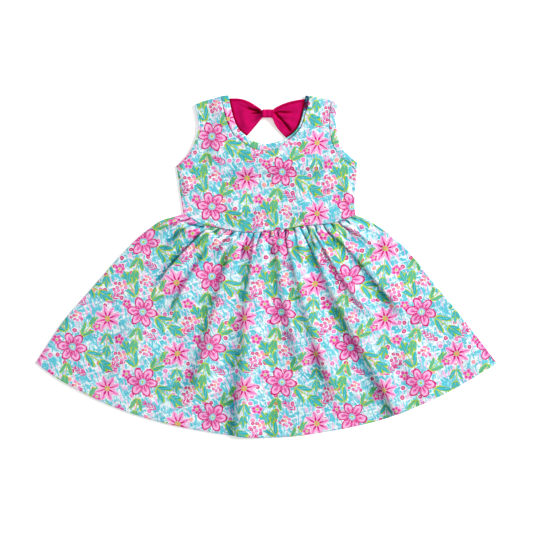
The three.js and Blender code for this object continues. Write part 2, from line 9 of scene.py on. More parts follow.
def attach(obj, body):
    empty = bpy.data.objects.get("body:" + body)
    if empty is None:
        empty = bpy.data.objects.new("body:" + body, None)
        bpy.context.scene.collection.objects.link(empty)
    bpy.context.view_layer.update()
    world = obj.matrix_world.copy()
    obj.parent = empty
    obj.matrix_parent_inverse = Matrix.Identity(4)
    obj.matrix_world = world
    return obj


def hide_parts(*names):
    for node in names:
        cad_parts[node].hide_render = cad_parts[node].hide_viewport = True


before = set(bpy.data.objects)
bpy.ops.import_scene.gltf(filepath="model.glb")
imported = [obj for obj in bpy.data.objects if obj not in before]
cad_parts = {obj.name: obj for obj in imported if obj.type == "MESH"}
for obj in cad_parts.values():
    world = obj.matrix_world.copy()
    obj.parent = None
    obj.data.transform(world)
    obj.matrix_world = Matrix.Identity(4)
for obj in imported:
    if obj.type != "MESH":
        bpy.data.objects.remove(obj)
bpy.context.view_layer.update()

bl_info = {
    "name": "Toddler sundress",
    "version": (1, 0, 0),
    "blender": (4, 5, 0),
    "location": "3D View > Sidebar > Dress",
    "description": "Builds the printed jersey of a toddler sundress that lies flat, and its stage",
    "category": "Object",
}

# All lengths in the tables are millimetres, in the frame's own axes. Left and right are the picture's.
MM = 0.001

# Outline of the dress
SHOULDER_LEFT = [(-110.9, 249.5), (-97, 255.6), (-78, 261), (-58.5, 263.6)]
SHOULDER_RIGHT = [(110.1, 252.6), (97, 257.5), (78, 261.6), (60, 263.6)]
ARMHOLE_LEFT = [
    (-110.9, 249.5), (-106.3, 229.5), (-105.5, 211), (-109.3, 195.6), (-118.6, 175.6), (-138.6, 154),
]
ARMHOLE_RIGHT = [
    (110.1, 252.6), (107.8, 235.6), (107.8, 214), (110.9, 195.6), (119.5, 178.5), (140.1, 159.4),
]
SIDE_LEFT = [ARMHOLE_LEFT[-1], (-135.5, 134), (-132.4, 110.9), (-128, 81.4)]
SIDE_RIGHT = [ARMHOLE_RIGHT[-1], (138.6, 134), (135.8, 103.2), (137, 79.8)]
WAIST = [
    (-128, 81.2), (-103, 66), (-78.5, 60), (-49.3, 54.4), (-23, 51.6), (4.6, 54.7),
    (35.4, 58.5), (66, 63), (97, 65.6), (120, 71.6), (137, 79.6),
]
SKIRT_LEFT = [
    (-128, 80.8), (-146.3, 75.5), (-164.8, 69.3), (-195.6, 46.2), (-226.4, 15.4), (-269.5, -33.9),
    (-312.6, -83.9), (-355.6, -148.5),
]
SKIRT_RIGHT = [
    (137, 79.2), (144.8, 76), (160.2, 69.3), (189.4, 49.3), (220.2, 21.6), (257.2, -24.6),
    (300.3, -77), (355.6, -149.5),
]
HEM = [
    (-355.6, -149), (-312.6, -178.6), (-237.2, -215.6), (-149.4, -243.3), (-52.4, -260.3),
    (0, -263.6), (66.2, -258.7), (174, -237.2), (268, -200.2), (355.6, -150),
]
FRONT_NECK = [
    (-58.5, 263.6), (-55, 244.5), (-49.6, 225.3), (-42.7, 211.6), (-31.7, 201.9), (-20.6, 193.6),
    (-6.9, 189.6), (5.4, 189.6), (20.6, 193.6), (34.3, 200.5), (45.3, 210.2), (52.2, 222.5),
    (56.4, 239), (60, 263.6),
]
BACK_OPENING = [(0, 150), (24, 153.5), (47, 166), (62, 187), (67, 212), (65.5, 238), (61.5, 263.2)]
BACK_NECK = [(-x, y) for x, y in reversed(BACK_OPENING[1:])] + BACK_OPENING

# Levels of the underside of the front panels, where they are lifted over the bow's ends, and how the
# neck band rolls under towards the right shoulder, sinks there and is darkened there with painted shade
SEAM_LEVEL = 1.9
FRONT_LEVEL = 2.4
SEAM_RAMP = 16
BOW_LIFT = 1.7
LIFT_ABOVE = (140, 178)
LIFT_INSIDE = (72, 92)
CHEST_HALF = 137
UNDERARM = 156
CREASES_END = (60, 100)
NECK_ROLL = (0.5, 0.68)
NECK_ROLL_GAP = 0.8
SHOULDER_SINKS = (0.86, 0.92)
SHOULDER_WIDER = 2.2
SHOULDER_DEPTH = 1.8
SHOULDER_SHADE = 1.9
SEAM_GAP = 0.15
BACK_INSET = 0.8
LAYER_GAP = 0.1

# Folds of the front skirt: crest from start to end with a bend, height, width of the flank on the left
# (near) and right (far), lengths over which it grows and dies, and how far its crest leans to the left.
# A fold starts out lower and sharper than it ends.
FOLD_START = {"height": 0.5, "near": 0.3, "over": 150}
FOLD_COLUMNS = ("start", "end", "bend", "height", "near", "far", "grow", "fade", "lean")
SKIRT_FOLDS = [
    ((-15, 51), (-37, -258), 0, 4.5, 12, 34, 10, 0, 1.0),
    ((12, 50), (66, -180), 3, 3.2, 9, 30, 10, 80, 0.8),
    ((30, 54), (124, -236), 0, 4.4, 11, 32, 10, 80, 1.1),
    ((60, 57), (209, -226), 1, 5.0, 11, 42, 10, 0, 1.0),
    ((76, 60), (181, -84), 5, 4.0, 8, 24, 10, 60, 1.2),
    ((95, 62), (224, -84), -7, 4.8, 8, 30, 10, 60, 1.1),
    ((-48, 50), (-116, -226), -4, 3.8, 11, 30, 10, 60, 1.0),
    ((-62, 55), (-150, -88), 5, 3.4, 6, 24, 8, 50, 0.9),
    ((-84, 57), (-176, -45), 3, 4.6, 5, 22, 8, 50, 1.1),
    ((-172, -60), (-236, -190), 4, 2.4, 22, 34, 50, 60, 0.4),
    ((196, -90), (258, -204), -4, 2.4, 18, 34, 50, 0, 0.4),
]
WAIST_END_PLEATS = [
    ((-93, 61), (-141, 74), -3, -2.2, 1.6, 2.2, 6, 8, 0.0),
    ((-131, 75), (-168, 58), 2, 2.4, 3.5, 5, 6, 22, 0.8),
    ((-122, 69), (-176, 30), 4, 2.8, 5, 8, 8, 34, 0.8),
    ((-108, 63), (-158, 12), 4, 2.8, 5, 9, 8, 34, 0.8),
    ((134, 72), (180, 48), -3, 2.6, 4, 6, 6, 26, 0.8),
    ((124, 66), (178, 26), -3, 2.8, 5, 8, 8, 30, 0.8),
]
BODICE_CREASES = [
    ((-137, 150), (-112, 116), 3, 1.6, 7, 10, 8, 18, 0.3),
    ((117, 134), (131, 96), -4, 1.5, 7, 9, 12, 14, 0.3),
    ((-76, 256), (-60, 206), -2, 1.1, 9, 7, 14, 22, 0.2),
    ((-60, 128), (-34, 70), 3, 1.0, 14, 18, 24, 20, 0.0),
    ((58, 150), (44, 74), -3, 1.0, 16, 16, 24, 20, 0.0),
]

# Gathers under the waist seam: place along it from left (0) to right (1), length, height and half width
GATHERS = [
    (0.075, 24, 1.6, 4.2), (0.115, 22, 1.6, 3.6), (0.152, 34, 2.2, 4.4), (0.196, 24, 1.9, 4.0),
    (0.243, 36, 2.4, 4.6), (0.282, 20, 1.8, 3.8), (0.326, 34, 2.5, 4.4), (0.368, 38, 2.5, 4.4),
    (0.401, 16, 1.5, 3.2), (0.436, 23, 2.0, 3.8), (0.483, 30, 2.1, 4.8), (0.531, 18, 1.6, 4.6),
    (0.569, 27, 2.0, 3.6), (0.618, 20, 1.8, 4.8), (0.659, 28, 2.2, 3.8), (0.694, 16, 1.5, 3.6),
    (0.734, 30, 2.2, 4.2), (0.782, 20, 1.7, 4.6), (0.829, 26, 2.0, 4.2), (0.872, 18, 1.6, 4.0),
    (0.914, 22, 1.8, 3.8), (0.951, 14, 1.3, 3.2),
]
# Shares by which the cloth's gathers are wider and taller than that
GATHER_WIDTH = 1.3
GATHER_HEIGHT = 1.55

# Bow: its edges, the pinch between its loops and the creases that spread from it
BOW_TOP = [
    (-60, 261), (-48, 260.8), (-39.6, 259.6), (-31.3, 257.2), (-22.9, 252.8), (-14.6, 247.2),
    (-8.2, 242.4), (-7, 240.9), (-5.5, 239.4), (1.5, 239), (8.5, 239.4), (10, 241), (11.2, 242.2),
    (15.6, 245.6), (23, 249.2), (31.3, 252.2), (39.7, 254.2), (50, 255.6), (62, 256),
]
BOW_BOTTOM = [
    (-55, 176), (-43, 186), (-30.5, 200.6), (-24.6, 207), (-17.9, 215), (-11.6, 222.6), (-8.2, 227),
    (-5, 229.8), (1.5, 230.4), (7.5, 229), (10.2, 225.6), (12.6, 219.6), (16.8, 213), (22.6, 206),
    (31, 197.6), (44, 185), (55, 176),
]
BOW_ENDS = {"high": 0.015, "low": 0.293}
BOW_CENTRE = 1.5
BOW_WALL = 1.6
BOW_SIZE = (135, 80)
BOW_CELL = 1.1
BOW_ROUND = 10
PINCH_THICKNESS = 5.2
PINCH_LEVEL = 2
PINCH_REACH = (4, 20)
BOW_END_LEVEL = 0.3
BOW_EDGE_ROLL = (0.36, 0.07)
BOW_RISE = 1.2
# Painted shade on the bow: the depth of a crease that is fully shaded, the strength and reach of the painted
# shadow under the front neck edge, and the strength, distance from the upper edge and half width of a
# painted shade line where that edge turns in
BOW_HOLLOW = 1.2
BOW_END_SHADE = 0.8
BOW_END_REACH = 4.5
BOW_RIM_SHADE = (0.5, 3.3, 0.8)
CREASE_GROWS = (2, 14)
CREASE_DIES = (30, 52)
# side, place across the bow from its upper edge, height, half width as a share of the bow's height
BOW_CREASES = [
    (-1, 0.12, 1.5, 0.07), (-1, 0.45, 1.2, 0.07), (-1, 0.76, 1.5, 0.09),
    (1, 0.14, 1.5, 0.08), (1, 0.4, 1.2, 0.07), (1, 0.62, 1.5, 0.08),
]
# Creases of the bow with a place of their own, in the columns of the skirt's folds
BOW_FOLDS = [
    ((-8, 239.2), (-38, 251.5), -2, -1.3, 1.5, 2.2, 3, 14, 0),
    ((-8, 241.4), (-52, 256.6), -5, -0.9, 1.0, 1.4, 5, 12, 0),
    ((-8, 236.8), (-31, 233.2), 1, -1.2, 1.3, 2.0, 3, 12, 0),
    ((-35, 248), (-30, 208), 3, 1.5, 5, 9, 10, 10, 0),
    ((11, 237.2), (38.5, 206.5), -1, -1.7, 1.3, 2.6, 3, 6, 0),
    ((14, 238), (36, 214), 2, -1.2, 1.2, 2.0, 4, 8, 0),
    ((10.5, 240.2), (46, 238.2), 1, -1.2, 2.2, 1.4, 3, 18, 0),
    ((10.5, 242), (58, 252.6), 3.5, -0.9, 1.2, 1.2, 5, 6, 0),
]

# Knot
KNOT_X = (-6.8, 9.8)
KNOT_Y = (229.2, 242)
KNOT_HEIGHT = 9.4
KNOT_WALL = 1.5
KNOT_ROUND = 0.55
KNOT_RIBS = 0.35

# Motifs of the print, placed in one repeat: kind, centre, turn in radians and size (half its width). The
# sprays add their pairs of leaflets, their slant and how wide they are. The berries have no kind, and
# add their pitch.
SPRAYS = [
    ("sprig", (84, 4), 0.5, 12, 4, 0.6, 0.1),
    ("sprig", (38, 108), 2.6, 11, 4, 0.6, 0.1),
    ("leaf", (57, 21), 5.7, 25, 2, 0.6, 0.2),
    ("young", (46, 65), 0.8, 20, 2, 0.6, 0.2),
    ("leaf", (8, 74), 2.05, 23, 2, 0.6, 0.2),
    ("young", (15, 2), 4.5, 20, 2, 0.62, 0.2),
    ("leaf", (77, 48), 4.7, 19, 2, 0.66, 0.19),
]
BERRIES = [((98, 22), 0.3, 14, 0.42), ((30, 84), 1.1, 11, 0.48)]
FLOWERS = [
    ("small", (96, 50), 0.2, 8.5), ("small", (108, 104), 0.9, 8), ("small", (62, 70), 0.5, 7.5),
    ("daisy", (78, 82), 0.3, 20), ("blossom", (24, 38), 0.9, 23.5),
]

# Dyes across a motif: the place from its middle (0) to its edge (1), the dye and its cover, full where
# none is given
SPRAY_KINDS = {
    "sprig": [
        (0.0, "magenta"), (0.4, "magenta"), (0.6, "pink"), (0.96, "pink"), (1.06, "white"),
        (1.4, "white", 0),
    ],
    "leaf": [
        (0.0, "pale"), (0.08, "teal"), (0.44, "teal"), (0.58, "green"), (0.74, "lime"), (0.98, "lime"),
        (1.08, "white"), (1.3, "white", 0),
    ],
    "young": [
        (0.0, "lime"), (0.1, "green"), (0.3, "teal"), (0.55, "green"), (0.72, "lime"), (0.98, "lime"),
        (1.08, "white"), (1.3, "white", 0),
    ],
}
BERRY_DYES = [(0.0, "magenta"), (0.38, "magenta"), (0.46, "pink"), (0.78, "pink"), (0.86, "coral")]

# Leaflets: how far they reach at the foot and near the tip of a spray, how wide the leaf at its tip is,
# its stem's centre, half length and half width, and how uneven the brush leaves the leaves
LEAFLET_REACH = (0.95, 0.6)
TIP_WIDTH = 0.85
STEM = (-0.1, 1.1, 0.04)
LEAF_BRUSHED = 0.2

# How far a cluster of berries reaches, the distance in metres between single dots, how much smaller
# they are and the share left out, the wobble of the painter's hand in metres, and how the paint thins
CLUSTER = 0.85
DOT_PITCH = 0.0125
DOT_SHRINKS = 1.7
DOTS_KEPT = 0.3
HAND_WOBBLE = 0.0042
WASH = (0.88, 1.08)

# Flowers: number of petals and the layers from the bottom up, each with its shape, that shape's centre,
# half length and half width as shares of the flower's size (fine lines have their pitch first), how
# uneven the brush leaves it, and its dyes. A layer without a shape is round the flower's heart.
FLOWER_KINDS = {
    "small": (5, [
        ("oval", (0.55, 0.44, 0.38), 0.25, [
            (0.0, "magenta"), (0.24, "magenta"), (0.42, "pink"), (0.8, "pink"), (0.96, "blush"),
            (1.05, "white"), (1.36, "white", 0),
        ]),
        ("heart", (), 0, [(0.0, "lime"), (0.17, "lime"), (0.22, "white"), (0.3, "white", 0)]),
    ]),
    "daisy": (8, [
        ("leaf", (0.56, 0.46, 0.27), 0.2, [
            (0.0, "pink"), (0.2, "pink"), (0.4, "blush"), (0.6, "blush"), (0.72, "pink"),
            (0.82, "white"), (1.02, "white"), (1.25, "white", 0),
        ]),
        ("leaf", (0.34, 0.26, 0.09), 0.7, [
            (0.0, "magenta"), (0.5, "magenta"), (0.8, "pink"), (1.1, "pink", 0),
        ]),
        ("heart", (), 0.08, [
            (0.0, "coral"), (0.1, "coral"), (0.13, "lime"), (0.18, "lime"), (0.22, "white", 0),
        ]),
    ]),
    "blossom": (6, [
        ("oval", (0.57, 0.44, 0.29), 0.24, [
            (0.0, "pink"), (0.25, "pink"), (0.45, "blush"), (0.68, "blush"), (0.76, "pink"),
            (0.83, "magenta"), (1.0, "magenta"), (1.06, "white"), (1.36, "white", 0),
        ]),
        ("heart", (), 0.6, [(0.2, "magenta", 0.8), (0.34, "pink", 0.8), (0.55, "pink", 0)]),
        ("lines", (0.15, 0.42, 0.26, 0.045), 0.9, [
            (0.0, "magenta", 0.9), (0.5, "magenta", 0.7), (1.1, "pink", 0),
        ]),
        ("heart", (), 0.12, [
            (0.0, "lime"), (0.06, "lime"), (0.09, "white"), (0.15, "aqua"), (0.2, "pale", 0.9),
            (0.25, "pale", 0),
        ]),
    ]),
}

# Strokes of the ground from the bottom up: turn in radians, length and width in metres, and the dyes
# along the noise that shapes them
GROUND = [
    (0.9, 0.032, 0.02, [(0.44, "pale", 0.0), (0.52, "pale", 0.9), (0.67, "white")]),
    (-0.6, 0.03, 0.0062, [
        (0.36, "teal", 0.35), (0.43, "aqua", 0.5), (0.46, "aqua", 0.0), (0.56, "pale", 0.0),
        (0.6, "pale", 0.8), (0.65, "white"),
    ]),
    (1.5, 0.024, 0.005, [(0.34, "teal", 0.35), (0.4, "teal", 0.0), (0.6, "aqua", 0.0), (0.64, "aqua")]),
    (0.35, 0.022, 0.004, [
        (0.36, "white", 0.95), (0.4, "white", 0.0), (0.62, "aqua", 0.0), (0.66, "aqua", 0.8),
    ]),
    (2.3, 0.018, 0.0034, [(0.625, "white", 0.0), (0.66, "white", 0.95)]),
    (-1.3, 0.016, 0.0034, [
        (0.37, "aqua", 0.9), (0.41, "aqua", 0.0), (0.63, "blush", 0.0), (0.66, "blush", 0.9),
    ]),
]

# Distance between the ribs of the jersey in metres, and how much of the bow's dye its paler parts keep
WALE = 0.0011
BOW_DEEP = 0.86

# Rounded lips where the cloth turns down at its edges: how far in they start, how deep they go and how
# much painted shade darkens the seam in them
LIPS = {
    "side": (1.8, 0.75, 0), "hem": (1.8, 0.9, 0), "waist": (2.6, 1.0, 0.4), "band": (1.6, 0.45, 0.15),
    "free": (1.4, 0.6, 0),
}

# A hollow of this depth gets full painted shade. It is measured against the mean of the cells around it.
HOLLOW_DEPTH = 1.2
HOLLOW_CELLS = 8
# How the painted shade deepens and darkens the dyes in hollows, and the tints it lays on the print and the
# bow
HOLLOW_DEEPENS = 0.9
HOLLOW_DARKENS = 0.22
PRINT_SHADE_TINT = "CDE9EE"
BOW_HOLLOW_SHADE = "D0A8B8"

# Stage: the floor's half width and level, each light's size and place, and what the camera sees
FLOOR_HALF = 4
FLOOR_LEVEL = -0.0002
KEY_LIGHT = (2.4, (5.2, 2.0, 3.2))
FILL_LIGHT = (2.0, (-1.4, -0.6, 1.9))
LENS = 85
SENSOR = 36
SEEN_WIDTH = 0.8208
SEEN_LEVEL = 0.004

# Meshes: the size that a skirt's grid is spaced for, the cells of the front and back panels, the shares
# of the neck where the straps part from the body, and how far the bands' print is moved
SKIRT_SIZE = (520, 345)
FRONT_CELLS = (1.9, 2.3)
BACK_CELL = 4.5
BACK_BODICE_CELL = 3.6
FRONT_SPLIT = (0.31, 0.7)
BACK_SPLIT = (0.33, 0.67)
NECK_PRINT = (31, 17)
ARM_PRINT = (47, 29)

CURVE_SAMPLES = 1600
EASE_POWER = 5
MERGE = 0.01 * MM


class DressSizes(bpy.types.PropertyGroup):
    """Sizes of the cloth that a user would change"""

    cloth: bpy.props.FloatProperty(
        name="Cloth", description="Thickness of the jersey", default=0.0012, unit="LENGTH",
    )
    band_cloth: bpy.props.FloatProperty(
        name="Band", description="Thickness of the folded bands", default=0.0016, unit="LENGTH",
    )
    band_width: bpy.props.FloatProperty(
        name="Band width", description="Width of the bands", default=0.011, unit="LENGTH",
    )
    rolled_width: bpy.props.FloatProperty(
        name="Rolled edge", description="Width that shows of a band rolled under", default=0.0027,
        unit="LENGTH",
    )
    back_band_width: bpy.props.FloatProperty(
        name="Back band width", description="Width of the band round the back opening",
        default=0.009, unit="LENGTH",
    )
    repeat: bpy.props.FloatProperty(
        name="Print repeat", description="Size of one repeat of the print", default=0.108,
        unit="LENGTH",
    )
    lean: bpy.props.FloatProperty(
        name="Fold lean", description="How far the crests of the folds lean over", default=1.0,
        subtype="FACTOR",
    )


def colour_property(name, description, code):
    """A colour property with an sRGB hex default."""
    return bpy.props.FloatVectorProperty(
        name=name, description=description, subtype="COLOR", size=4, min=0, max=1,
        default=linear(code),
    )


def linear(code):
    """Linear RGBA of an sRGB hex colour."""
    levels = [int(code[i:i + 2], 16) / 255 for i in (0, 2, 4)]
    return (*[c / 12.92 if c <= 0.04045 else ((c + 0.055) / 1.055) ** 2.4 for c in levels], 1.0)


class DressColours(bpy.types.PropertyGroup):
    """Dyes of the print and the bow"""

    aqua: colour_property("Aqua", "Main colour of the ground", "5FC4D6")
    teal: colour_property("Teal", "Dark strokes of the ground and the leaves", "2AABBC")
    pale: colour_property("Pale aqua", "Light strokes of the ground", "A6E0EA")
    white: colour_property("White", "Undyed cloth round the motifs", "E9F0F1")
    blush: colour_property("Blush", "Light pink of the petals", "F3B6DC")
    pink: colour_property("Pink", "Main pink of the petals", "E673B8")
    magenta: colour_property("Magenta", "Outlines and berries", "CB0F70")
    lime: colour_property("Lime", "Outlines of the leaves", "A9C52B")
    green: colour_property("Green", "Body of the leaves", "5AB56B")
    coral: colour_property("Coral", "Small accents", "F39A86")
    bow: colour_property("Bow", "Plain jersey of the bow", "C40B5C")


class DressStage(bpy.types.PropertyGroup):
    """The stage round the dress"""

    key: bpy.props.FloatProperty(
        name="Key light", description="Power of the soft light from the right", default=600,
        unit="POWER",
    )
    fill: bpy.props.FloatProperty(
        name="Fill light", description="Power of the light from the left", default=4, unit="POWER",
    )
    glow: bpy.props.FloatProperty(
        name="Floor glow", description="Light of the floor, which keeps the shadows pale", default=0.38,
        subtype="FACTOR",
    )
    sky: bpy.props.FloatProperty(
        name="Sky", description="Strength of the even white light", default=0.41, subtype="FACTOR",
    )


# Curves and patches. A curve takes an array of shares from 0 to 1 and gives rows of x and y.

def curve_through(points):
    """A smooth curve through points, evenly walked from 0 to 1."""
    points = np.asarray(points, float)
    last = len(points) - 1
    walk = np.linspace(0, last, CURVE_SAMPLES)
    first = np.minimum(walk.astype(int), last - 1)
    share = (walk - first)[:, None]
    here, there = points[first], points[first + 1]
    leaving = (there - points[np.maximum(first - 1, 0)]) / 2
    arriving = (points[np.minimum(first + 2, last)] - here) / 2
    line = (
        (2 * here - 2 * there + leaving + arriving) * share**3
        + (3 * (there - here) - 2 * leaving - arriving) * share**2
        + leaving * share
        + here
    )
    return walked(line)


def walked(line):
    """A curve along a row of close points, evenly walked from 0 to 1."""
    steps = np.linalg.norm(np.diff(line, axis=0), axis=1)
    lengths = np.concatenate([[0], np.cumsum(steps)])
    lengths /= lengths[-1]

    def at(t):
        t = np.clip(t, 0, 1)
        return np.stack([np.interp(t, lengths, line[:, 0]), np.interp(t, lengths, line[:, 1])], -1)

    return at


def length_of(curve):
    """Length of a curve."""
    line = curve(np.linspace(0, 1, CURVE_SAMPLES))
    return float(np.linalg.norm(np.diff(line, axis=0), axis=1).sum())


def place_on(curve, distance):
    """The place at a distance from the start of a curve."""
    return curve(np.array(distance / length_of(curve)))


def stretch(curve, start, end):
    """The part of a curve between two shares of it."""
    return lambda t: curve(start + (end - start) * t)


def straight(start, end):
    """A straight edge between two points."""
    return lambda t: start + (end - start) * np.asarray(t)[..., None]


def chain(*pieces):
    """Curves in a row: each piece is its share of the whole and the curve."""
    def at(t):
        t = np.asarray(t, float)
        out = np.zeros(t.shape + (2,))
        start = 0.0
        for share, curve in pieces:
            mine = (t >= start - 1e-9) & (t <= start + share + 1e-9)
            out[mine] = curve((t[mine] - start) / share)
            start += share
        return out

    return at


def offset(curve, width):
    """A curve moved to the left of its direction by width, a number or a function of the share."""
    glance = 1e-3

    def at(t):
        t = np.asarray(t, float)
        along = curve(np.minimum(t + glance, 1)) - curve(np.maximum(t - glance, 0))
        along /= np.linalg.norm(along, axis=-1, keepdims=True)
        across = np.stack([-along[..., 1], along[..., 0]], -1)
        reach = width(t) if callable(width) else width
        return curve(t) + across * np.asarray(reach)[..., None]

    return at


def pin_ends(curve, start, end):
    """A curve whose two ends are eased on to given points."""
    start_move = start - curve(np.array(0.0))
    end_move = end - curve(np.array(1.0))

    def at(t):
        t = np.asarray(t, float)
        at_start, at_end = (1 - t) ** EASE_POWER, t**EASE_POWER
        return curve(t) + start_move * at_start[..., None] + end_move * at_end[..., None]

    return at


def patch_points(edges, u, v):
    """Points of a four-sided patch between its edges, at arrays u and v."""
    bottom, top, left, right = edges["bottom"], edges["top"], edges["left"], edges["right"]
    zero, one = np.array(0.0), np.array(1.0)
    a, b = u[..., None], v[..., None]
    corners = (1 - a) * (1 - b) * bottom(zero) + a * (1 - b) * bottom(one)
    corners = corners + (1 - a) * b * top(zero) + a * b * top(one)
    return (1 - b) * bottom(u) + b * top(u) + (1 - a) * left(v) + a * right(v) - corners


def smooth(value, start, end):
    """A soft step from 0 at start to 1 at end."""
    t = np.clip((np.asarray(value, float) - start) / (end - start), 0, 1)
    return t * t * (3 - 2 * t)


def bell(distance, width):
    """A soft bump of height 1 at distance 0."""
    return np.exp(-((distance / width) ** 2))


def squarer(wave, power):
    """A wave from -1 to 1 with flatter crests."""
    return np.sign(wave) * np.abs(wave) ** power


def crease_relief(rows, x, y):
    """Height of creases at points of the cloth, and how far they lean in x and y."""
    height = np.zeros_like(x)
    lean_x = np.zeros_like(x)
    lean_y = np.zeros_like(x)
    for values in rows:
        row = dict(zip(FOLD_COLUMNS, values))
        along = np.subtract(row["end"], row["start"]).astype(float)
        length = np.linalg.norm(along)
        along /= length
        from_x, from_y = x - row["start"][0], y - row["start"][1]
        gone = from_x * along[0] + from_y * along[1]
        part = np.clip(gone / length, 0, 1)
        aside = from_y * along[0] - from_x * along[1] + 4 * row["bend"] * part * (1 - part)
        opened = smooth(gone, 0, FOLD_START["over"]) if length > FOLD_START["over"] else 1.0
        near = row["near"] * (FOLD_START["near"] + (1 - FOLD_START["near"]) * opened)
        tall = row["height"] * (FOLD_START["height"] + (1 - FOLD_START["height"]) * opened)
        flank = np.where(aside < 0, near, row["far"])
        kept = 1 - smooth(gone, length - row["fade"], length) if row["fade"] else 1.0
        one = tall * smooth(gone, 0, row["grow"]) * kept * bell(aside, flank)
        height += one
        lean_x += one * row["lean"] * along[1]
        lean_y -= one * row["lean"] * along[0]
    return height, lean_x, lean_y


def spaced(length, cell, lip=2.4, lip_steps=4):
    """Shares from 0 to 1 for a stretch of cloth, a cell apart and closer together at its ends."""
    near = np.linspace(0, lip, lip_steps + 1)[:-1]
    count = max(int(round((length - 2 * lip) / cell)), 2)
    middle = np.linspace(lip, length - lip, count + 1)
    return np.concatenate([near, middle, length - near[::-1]]) / length


def edge_distance(points, curve, length):
    """Distance from each point to a curve."""
    count = max(int(length / 0.3), 8)
    line = curve(np.linspace(0, 1, count))
    tree = kdtree.KDTree(count)
    for i, (x, y) in enumerate(line):
        tree.insert((x, y, 0), i)
    tree.balance()
    return np.array([tree.find((x, y, 0))[2] for x, y in points])


def lip_drop(points, edges):
    """How far the cloth turns down at its edges and how much painted shade darkens its seams there; each
    edge is a curve and the name of its lip."""
    drop = np.zeros(len(points))
    dark = np.zeros(len(points))
    for curve, name in edges:
        reach, depth, shade = LIPS[name]
        near = np.clip(1 - edge_distance(points, curve, length_of(curve)) / reach, 0, 1)
        drop = np.maximum(drop, depth * (1 - np.sqrt(1 - near**2)))
        dark = np.maximum(dark, shade * near**2)
    uneven = ripple(points[:, 0], points[:, 1], 34, 1.4, 2.7)
    return drop, dark * np.clip(0.75 + uneven, 0.15, 1)


def hollow_shade(z, columns, rows):
    """How far each point of a grid lies in a hollow of the cloth around it, from 0 to 1: the painted shade
    there.
    """
    grid = z.reshape(rows, columns)
    mean = np.pad(grid, HOLLOW_CELLS, mode="edge")
    window = np.ones(HOLLOW_CELLS + 1) / (HOLLOW_CELLS + 1)
    for axis in (0, 0, 1, 1):
        mean = np.apply_along_axis(np.convolve, axis, mean, window, mode="valid")
    return np.clip((mean - grid) / HOLLOW_DEPTH, 0, 1).ravel()


def ripple(x, y, size, height, seed):
    """Soft unevenness of the cloth, about size apart."""
    return height * np.array(
        [noise.noise((a / size, b / size, seed)) for a, b in zip(x, y)]
    )


def unrolled(columns, rows, x, z):
    """How much longer the cloth is than its plan, along each row from its middle outwards."""
    shape = (rows, columns)
    plan, rise = x.reshape(shape), z.reshape(shape)
    run = np.diff(plan, axis=1)
    extra = np.hypot(run, np.diff(rise, axis=1)) - np.abs(run)
    total = np.concatenate([np.zeros((rows, 1)), np.cumsum(extra, axis=1)], axis=1)
    middle = np.argmin(np.abs(plan), axis=1)
    return (total - total[np.arange(rows), middle][:, None]).ravel()


# Meshes

def grid_sheet(bm, columns, rows, place):
    """Adds a grid of cloth to bm. columns and rows are shares from 0 to 1. place takes arrays u and v,
    row by row, and gives x, y, z, the print's u, v, all in millimetres, and the painted shade in its
    hollows."""
    layer = bm.loops.layers.uv.get("cloth") or bm.loops.layers.uv.new("cloth")
    # A point attribute holds the painted shade that darkens the dyes in hollows and along seams
    depth = bm.verts.layers.float.get("hollow") or bm.verts.layers.float.new("hollow")
    made = bmesh.ops.create_grid(bm, x_segments=len(columns) - 1, y_segments=len(rows) - 1, size=1)
    verts = made["verts"]
    spots = np.array([v.co[:2] for v in verts])
    i = np.rint((spots[:, 0] + 1) / 2 * (len(columns) - 1)).astype(int)
    j = np.rint((spots[:, 1] + 1) / 2 * (len(rows) - 1)).astype(int)
    u, v = np.meshgrid(columns, rows)
    x, y, z, print_u, print_v, hollow = place(u.ravel(), v.ravel())
    at = j * len(columns) + i
    prints = {}
    for vert, n in zip(verts, at):
        vert.co = (x[n] * MM, y[n] * MM, z[n] * MM)
        prints[vert] = (print_u[n] * MM, print_v[n] * MM)
        vert[depth] = hollow[n]
    for face in {f for vert in verts for f in vert.link_faces}:
        for loop in face.loops:
            loop[layer].uv = prints[loop.vert]


def cloth_object(node, bm, material, thickness=None, closed=False):
    """The finished piece that stands for a node: smooth, with its wall, riding on the root body."""
    bmesh.ops.remove_doubles(bm, verts=bm.verts, dist=MERGE)
    if closed:
        bmesh.ops.recalc_face_normals(bm, faces=bm.faces)
    mesh = bpy.data.meshes.new(node + "_cloth")
    bm.to_mesh(mesh)
    bm.free()
    mesh.shade_smooth()
    piece = bpy.data.objects.new(node + "_cloth", mesh)
    bpy.context.scene.collection.objects.link(piece)
    mesh.materials.append(material)
    if thickness:
        wall = piece.modifiers.new("wall", "SOLIDIFY")
        wall.thickness = thickness
        wall.offset = -1
        wall.use_even_offset = False
    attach(piece, "root")
    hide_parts(node)
    return piece


# Shared edges of the panels

shoulder_left = curve_through(SHOULDER_LEFT)
shoulder_right = curve_through(SHOULDER_RIGHT)
armhole_left = curve_through(ARMHOLE_LEFT)
armhole_right = curve_through(ARMHOLE_RIGHT)
side_left = curve_through(SIDE_LEFT)
side_right = curve_through(SIDE_RIGHT)
waist = curve_through(WAIST)
front_neck = curve_through(FRONT_NECK)
back_neck = curve_through(BACK_NECK)
waist_length = length_of(waist)
START, END = np.array(0.0), np.array(1.0)
ARMS = {
    "left": (armhole_left, shoulder_left, side_left, 1),
    "right": (armhole_right, shoulder_right, side_right, -1),
}


def front_band_width(t):
    """Width of the front neck band along the neck; it is rolled under towards the right shoulder."""
    sizes = bpy.context.scene.dress_sizes
    wide, rolled = sizes.band_width / MM, sizes.rolled_width / MM
    in_neck = wide + (rolled - wide) * smooth(t, *NECK_ROLL)
    return in_neck + SHOULDER_WIDER * smooth(t, *SHOULDER_SINKS)


